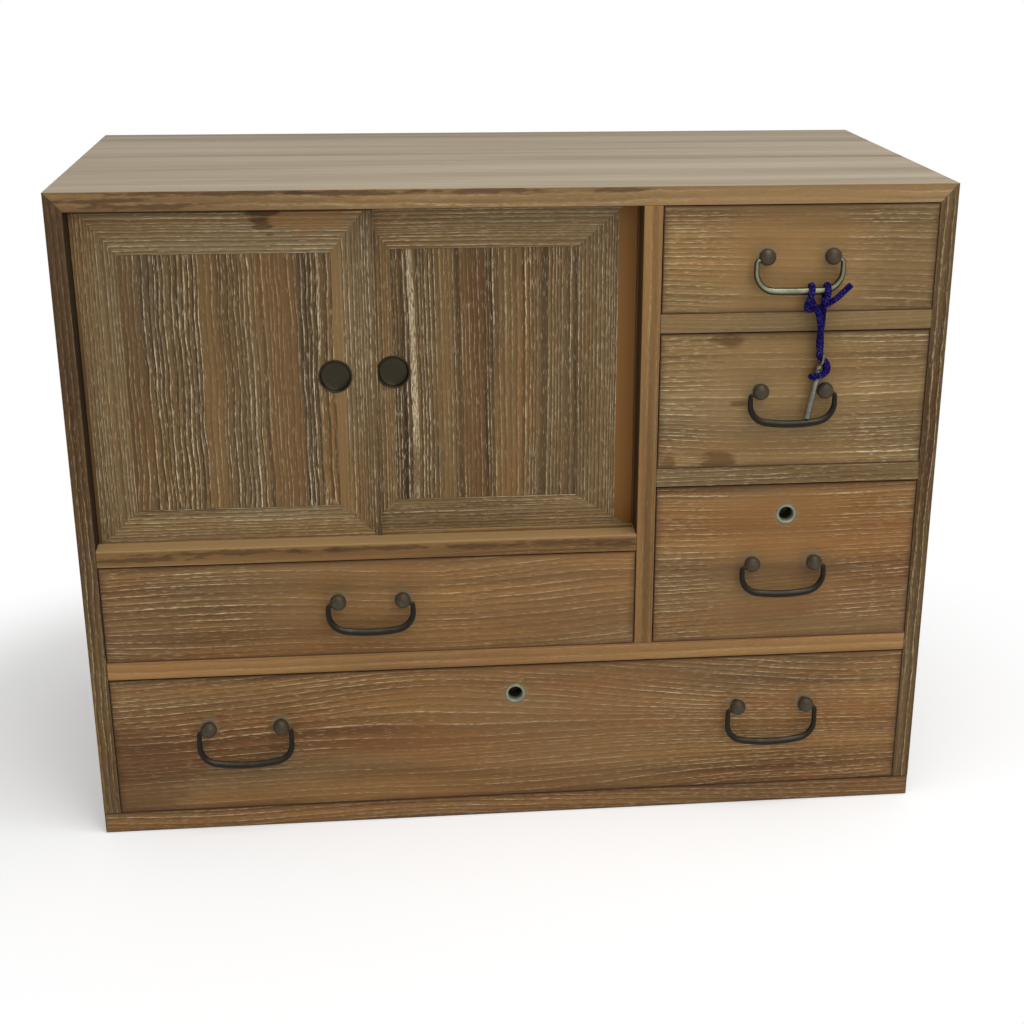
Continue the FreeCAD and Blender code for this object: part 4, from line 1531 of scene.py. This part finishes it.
@dataclass
class Studs:
    """The ball-headed studs of one drawer, set out by a node tree."""

    drawer: str
    bails: tuple[str, ...]
    radius: float = 0.0066
    width: float = 0.0073
    standoff: float = 0.010
    front: float = -0.184
    head_turn: float = math.radians(140.0)
    head_steps: int = 16
    neck: float = 0.0036
    pin: float = 0.002
    clench: Profile = ((0.0045, 0.028), (0.0043, 0.0292), (0.0, 0.0295))
    sides: int = 32

    def stud_mesh(self) -> bpy.types.Mesh:
        """Turn one stud at the origin, with its head in front and its clench behind.

        Returns:
            The stud's mesh.
        """
        profile = [(0.0, -self.radius)]
        for step in range(1, self.head_steps + 1):
            turn = self.head_turn * step / self.head_steps
            profile.append((self.width * math.sin(turn), -self.radius * math.cos(turn)))
        profile += [(self.neck, self.radius), (self.neck, self.standoff), (self.pin, self.standoff),
                    (self.pin, self.clench[0][1]), *self.clench]
        return turned_mesh(profile, Vector((0.0, 0.0, 0.0)), self.sides)

    def row_tree(self) -> tuple[Tree, dict[str, str]]:
        """Build the tree that sets studs out in pairs.

        Returns:
            The tree, and the identifiers of its named inputs.
        """
        tree, names = node_group("stud_pairs", {
            "Stud": "Geometry", "First place": "Vector", "Spacing": "Vector", "Pairs": "Int",
            "Pair gap": "Vector", "Metal": "Material"}, "Studs")
        given = tree.node("NodeGroupInput")
        pair = tree.node("GeometryNodeMeshLine", values={"Count": 2, "Offset": given["Spacing"]})["Mesh"]
        studs = tree.node("GeometryNodeInstanceOnPoints",
                          values={"Points": pair, "Instance": given["Stud"]})["Instances"]
        places = tree.node("GeometryNodeMeshLine", values={
            "Count": given["Pairs"], "Offset": given["Pair gap"],
            "Start Location": given["First place"]})["Mesh"]
        rows = tree.node("GeometryNodeInstanceOnPoints", values={"Points": places, "Instance": studs})
        end_group(tree, rows["Instances"], given["Metal"])
        return tree, names

    def dress(self) -> None:
        """Set the studs out over their bails."""
        node = f"{self.drawer}_studs"
        low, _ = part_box(node)
        middle, last = middle_of(self.bails[0]).x, middle_of(self.bails[-1]).x
        left = low.x + self.radius
        tree, names = self.row_tree()
        material = STUD_IRON.material()
        mesh = grown_mesh(put("one_stud", self.stud_mesh()), tree, names, {
            "First place": (left, self.front - self.standoff, middle_of(node).z),
            "Spacing": (2 * (middle - left), 0.0, 0.0), "Pairs": len(self.bails),
            "Pair gap": (last - middle, 0.0, 0.0), "Metal": material})
        add_piece(f"ball_{node}", mesh, material, f"{self.drawer}_drawer", [node])


@dataclass
class Drawer:
    """A drawer: its front, box, studs, bails and, on two of them, its lock."""

    name: str
    wood: WoodFinish
    bails: tuple[str, ...]
    locked: bool = False
    worn: bool = False
    halo: Colour = shown(150, 140, 110)
    hole: Colour = shown(20, 17, 14)
    ease: float = 0.0009
    # How dark the front's rims turn: grime, and painted shade at the gaps round the drawer.
    grime_and_shade: float = 0.45
    stud_inset: float = 0.0117
    stud_halo: float = 0.0115
    ring_halo: float = 0.014
    hole_reach: float = 0.0108
    flat_bow: float = 0.7
    round_bow: float = 0.15
    ring_profile: Profile = ((0.0094, 0.0008), (0.0091, 0.0002), (0.0085, 0.0), (0.0076, 0.0001),
                             (0.0068, 0.0006), (0.0063, 0.0018))
    ring_sides: int = 48

    def halos(self) -> tuple[Mark, ...]:
        """Set out the pale rings that old metal has left in the wood, and the painted shade in the keyhole.

        Returns:
            The marks.
        """
        marks = []
        row = middle_of(f"{self.name}_studs").z
        for bail in self.bails:
            low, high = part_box(bail)
            for x in (low.x + self.stud_inset, high.x - self.stud_inset):
                marks.append(Mark(x, row, self.stud_halo, self.stud_halo, self.halo, 0.45, 0.2))
        if self.locked:
            middle = middle_of(f"{self.name}_keyhole_ring")
            marks.append(Mark(middle.x, middle.z, self.ring_halo, self.ring_halo, self.halo, 0.4, 0.2))
            # Painted shade: the keyhole and the wood just round it go nearly black, as the shadow inside
            # the hole would.
            marks.append(Mark(middle.x, middle.z, self.hole_reach, self.hole_reach, self.hole, 0.97, 0.0))
        return tuple(marks)

    def dress(self) -> None:
        """Put the drawer's pieces in the scene."""
        body = f"{self.name}_drawer"
        wood = replace(self.wood, name=f"{self.name}_front_wood", marks=self.wood.marks + self.halos(),
                       edge_grime_and_shade=self.grime_and_shade)
        Board(f"{body}_front", body, "drawer_wood", wood, self.ease).dress()
        for part, grain in (("sides", Grain.INWARDS), ("back", Grain.SIDEWAYS), ("bottom", Grain.SIDEWAYS)):
            node = f"{body}_{part}"
            plain = replace(PLAIN, name=f"{node}_wood", grain=grain, seed=self.wood.seed)
            dress_node(node, plain.material(*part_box(node)))
        Studs(self.name, self.bails).dress()
        finish, bow = (WORN_IRON, self.flat_bow) if self.worn else (IRON, self.round_bow)
        for bail in self.bails:
            Bail(bail, finish, bow).dress()
        if self.locked:
            self.dress_lock()

    def dress_lock(self) -> None:
        """Turn the keyhole's ring and give the lock its steel."""
        node = f"{self.name}_keyhole_ring"
        low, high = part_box(node)
        centre = middle_of(node)
        centre.y = 0.0
        outer, inner = self.ring_profile[0][0], self.ring_profile[-1][0]
        profile = [(inner, high.y), (outer, high.y),
                   *((radius, low.y + drop) for radius, drop in self.ring_profile), (inner, high.y)]
        add_piece(f"turned_{node}", turned_mesh(profile, centre, self.ring_sides), RING_METAL.material(),
                  f"{self.name}_drawer", [node])
        for part in ("lock_case", "lock_bolt"):
            dress_node(f"{self.name}_{part}", LOCK_STEEL.material())


@dataclass
class Chest:
    """The whole tansu."""

    lanyard: Lanyard = field(default_factory=Lanyard)
    case: Case = field(default_factory=Case)

    def doors(self) -> list[Door]:
        """Choose the woods and marks of the doors.

        Returns:
            The two doors.
        """
        left_low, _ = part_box("left_door_stiles")
        _, right_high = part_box("right_door_stiles")
        _, panel_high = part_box("left_door_panel")
        knot = shown(76, 50, 24)
        honey, orange, brown = shown(140, 108, 64), shown(128, 90, 48), shown(114, 80, 44)
        knots = (Mark(-0.175, 0.560, 0.05, 0.014, shown(152, 108, 58), 0.6, 0.5),
                 Mark(-0.209, 0.5645, 0.021, 0.0036, knot, 0.85, 0.8),
                 Mark(-0.209, 0.559, 0.012, 0.0045, knot, 0.85, 0.8),
                 Mark(-0.207, 0.553, 0.012, 0.0026, knot, 0.7, 0.9),
                 Mark(-0.202, 0.5465, 0.005, 0.002, knot, 0.5, 0.7))
        dark_strip = Band(left_low.x - 0.001, left_low.x + 0.0028, shown(100, 68, 34), top=0.55)
        honey_strip = Band(panel_high.x - 0.005, panel_high.x + 0.002, honey, top=0.66, amount=0.45,
                           smooth=0.6, soft=0.002)
        orange_strip = Band(right_high.x - 0.0155, right_high.x + 0.001, shown(142, 95, 42))
        left_zones = (Zone(0.0, 0.08, brown, 0.42), Zone(0.40, 0.44, honey, 0.4),
                      Zone(0.68, 0.80, orange, 0.45))
        right_zones = (Zone(0.27, 0.32, honey, 0.4), Zone(0.40, 0.48, orange, 0.35),
                       Zone(0.58, 0.66, honey, 0.3))
        return [Door("left_door", 11.0, 0.0026, (dark_strip, honey_strip), left_zones, knots),
                Door("right_door", 17.0, 0.0012, (orange_strip,), right_zones)]

    def drawers(self) -> list[Drawer]:
        """Choose the woods and marks of the drawers.

        Returns:
            The five drawers.
        """
        smudge = shown(92, 62, 28)
        smudges = (Mark(0.186, 0.4535, 0.018, 0.007, smudge, 0.75, 0.8),
                   Mark(0.181, 0.345, 0.020, 0.012, smudge, 0.7, 0.7),
                   Mark(0.136, 0.343, 0.010, 0.008, smudge, 0.65, 0.7),
                   Mark(0.196, 0.3965, 0.012, 0.004, smudge, 0.65, 0.8),
                   Mark(0.36, 0.41, 0.05, 0.08, shown(112, 88, 54), 0.3, 0.4))
        upper_end = Mark(0.365, 0.51, 0.09, 0.07, shown(100, 78, 46), 0.45, 0.4)
        wide_end = Mark(0.06, 0.215, 0.12, 0.05, shown(112, 80, 46), 0.3, 0.5)
        bottom_end = Mark(-0.35, 0.06, 0.07, 0.07, shown(80, 52, 28), 0.45, 0.5)
        handled = Band(0.20, 0.27, shown(146, 110, 66), amount=0.2, smooth=0.75, soft=0.05)
        wide_middle = Band(-0.20, -0.09, shown(138, 100, 56), amount=0.15, smooth=0.5, soft=0.07)
        bottom_middle = Band(-0.06, 0.10, shown(136, 96, 54), amount=0.15, smooth=0.4, soft=0.09)
        upper = replace(BROWN, seed=21.0, marks=(upper_end,), bands=(handled,))
        middle = replace(BROWN, seed=23.0, filled=1.0, marks=smudges, bands=(replace(handled, smooth=0.6),))
        lower = replace(GINGER, seed=25.0, bands=(replace(handled, amount=0.0),))
        wide = replace(GINGER, seed=27.0, wander=0.07, marks=(wide_end,), bands=(wide_middle,))
        bottom = replace(GINGER, seed=29.0, wander=0.07, marks=(bottom_end,), bands=(bottom_middle,))
        return [Drawer("upper", upper, ("upper_bail",), worn=True),
                Drawer("middle", middle, ("middle_bail",)),
                Drawer("lower", lower, ("lower_bail",), locked=True),
                Drawer("wide", wide, ("wide_bail",)),
                Drawer("bottom", bottom, ("bottom_left_bail", "bottom_right_bail"), locked=True)]

    def dress(self) -> None:
        """Dress every part of the chest."""
        self.lanyard.dress()
        self.case.dress()
        for door in self.doors():
            door.dress()
        for drawer in self.drawers():
            drawer.dress()


def main() -> None:
    """Build the studio and the chest."""
    logging.basicConfig(level=logging.INFO, format="%(name)s: %(message)s")
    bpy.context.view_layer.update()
    bpy.context.scene.view_settings.view_transform = "Standard"
    studio = Studio()
    studio.add_camera()
    Chest().dress()
    studio.light()


if __name__ == "__main__":
    main()
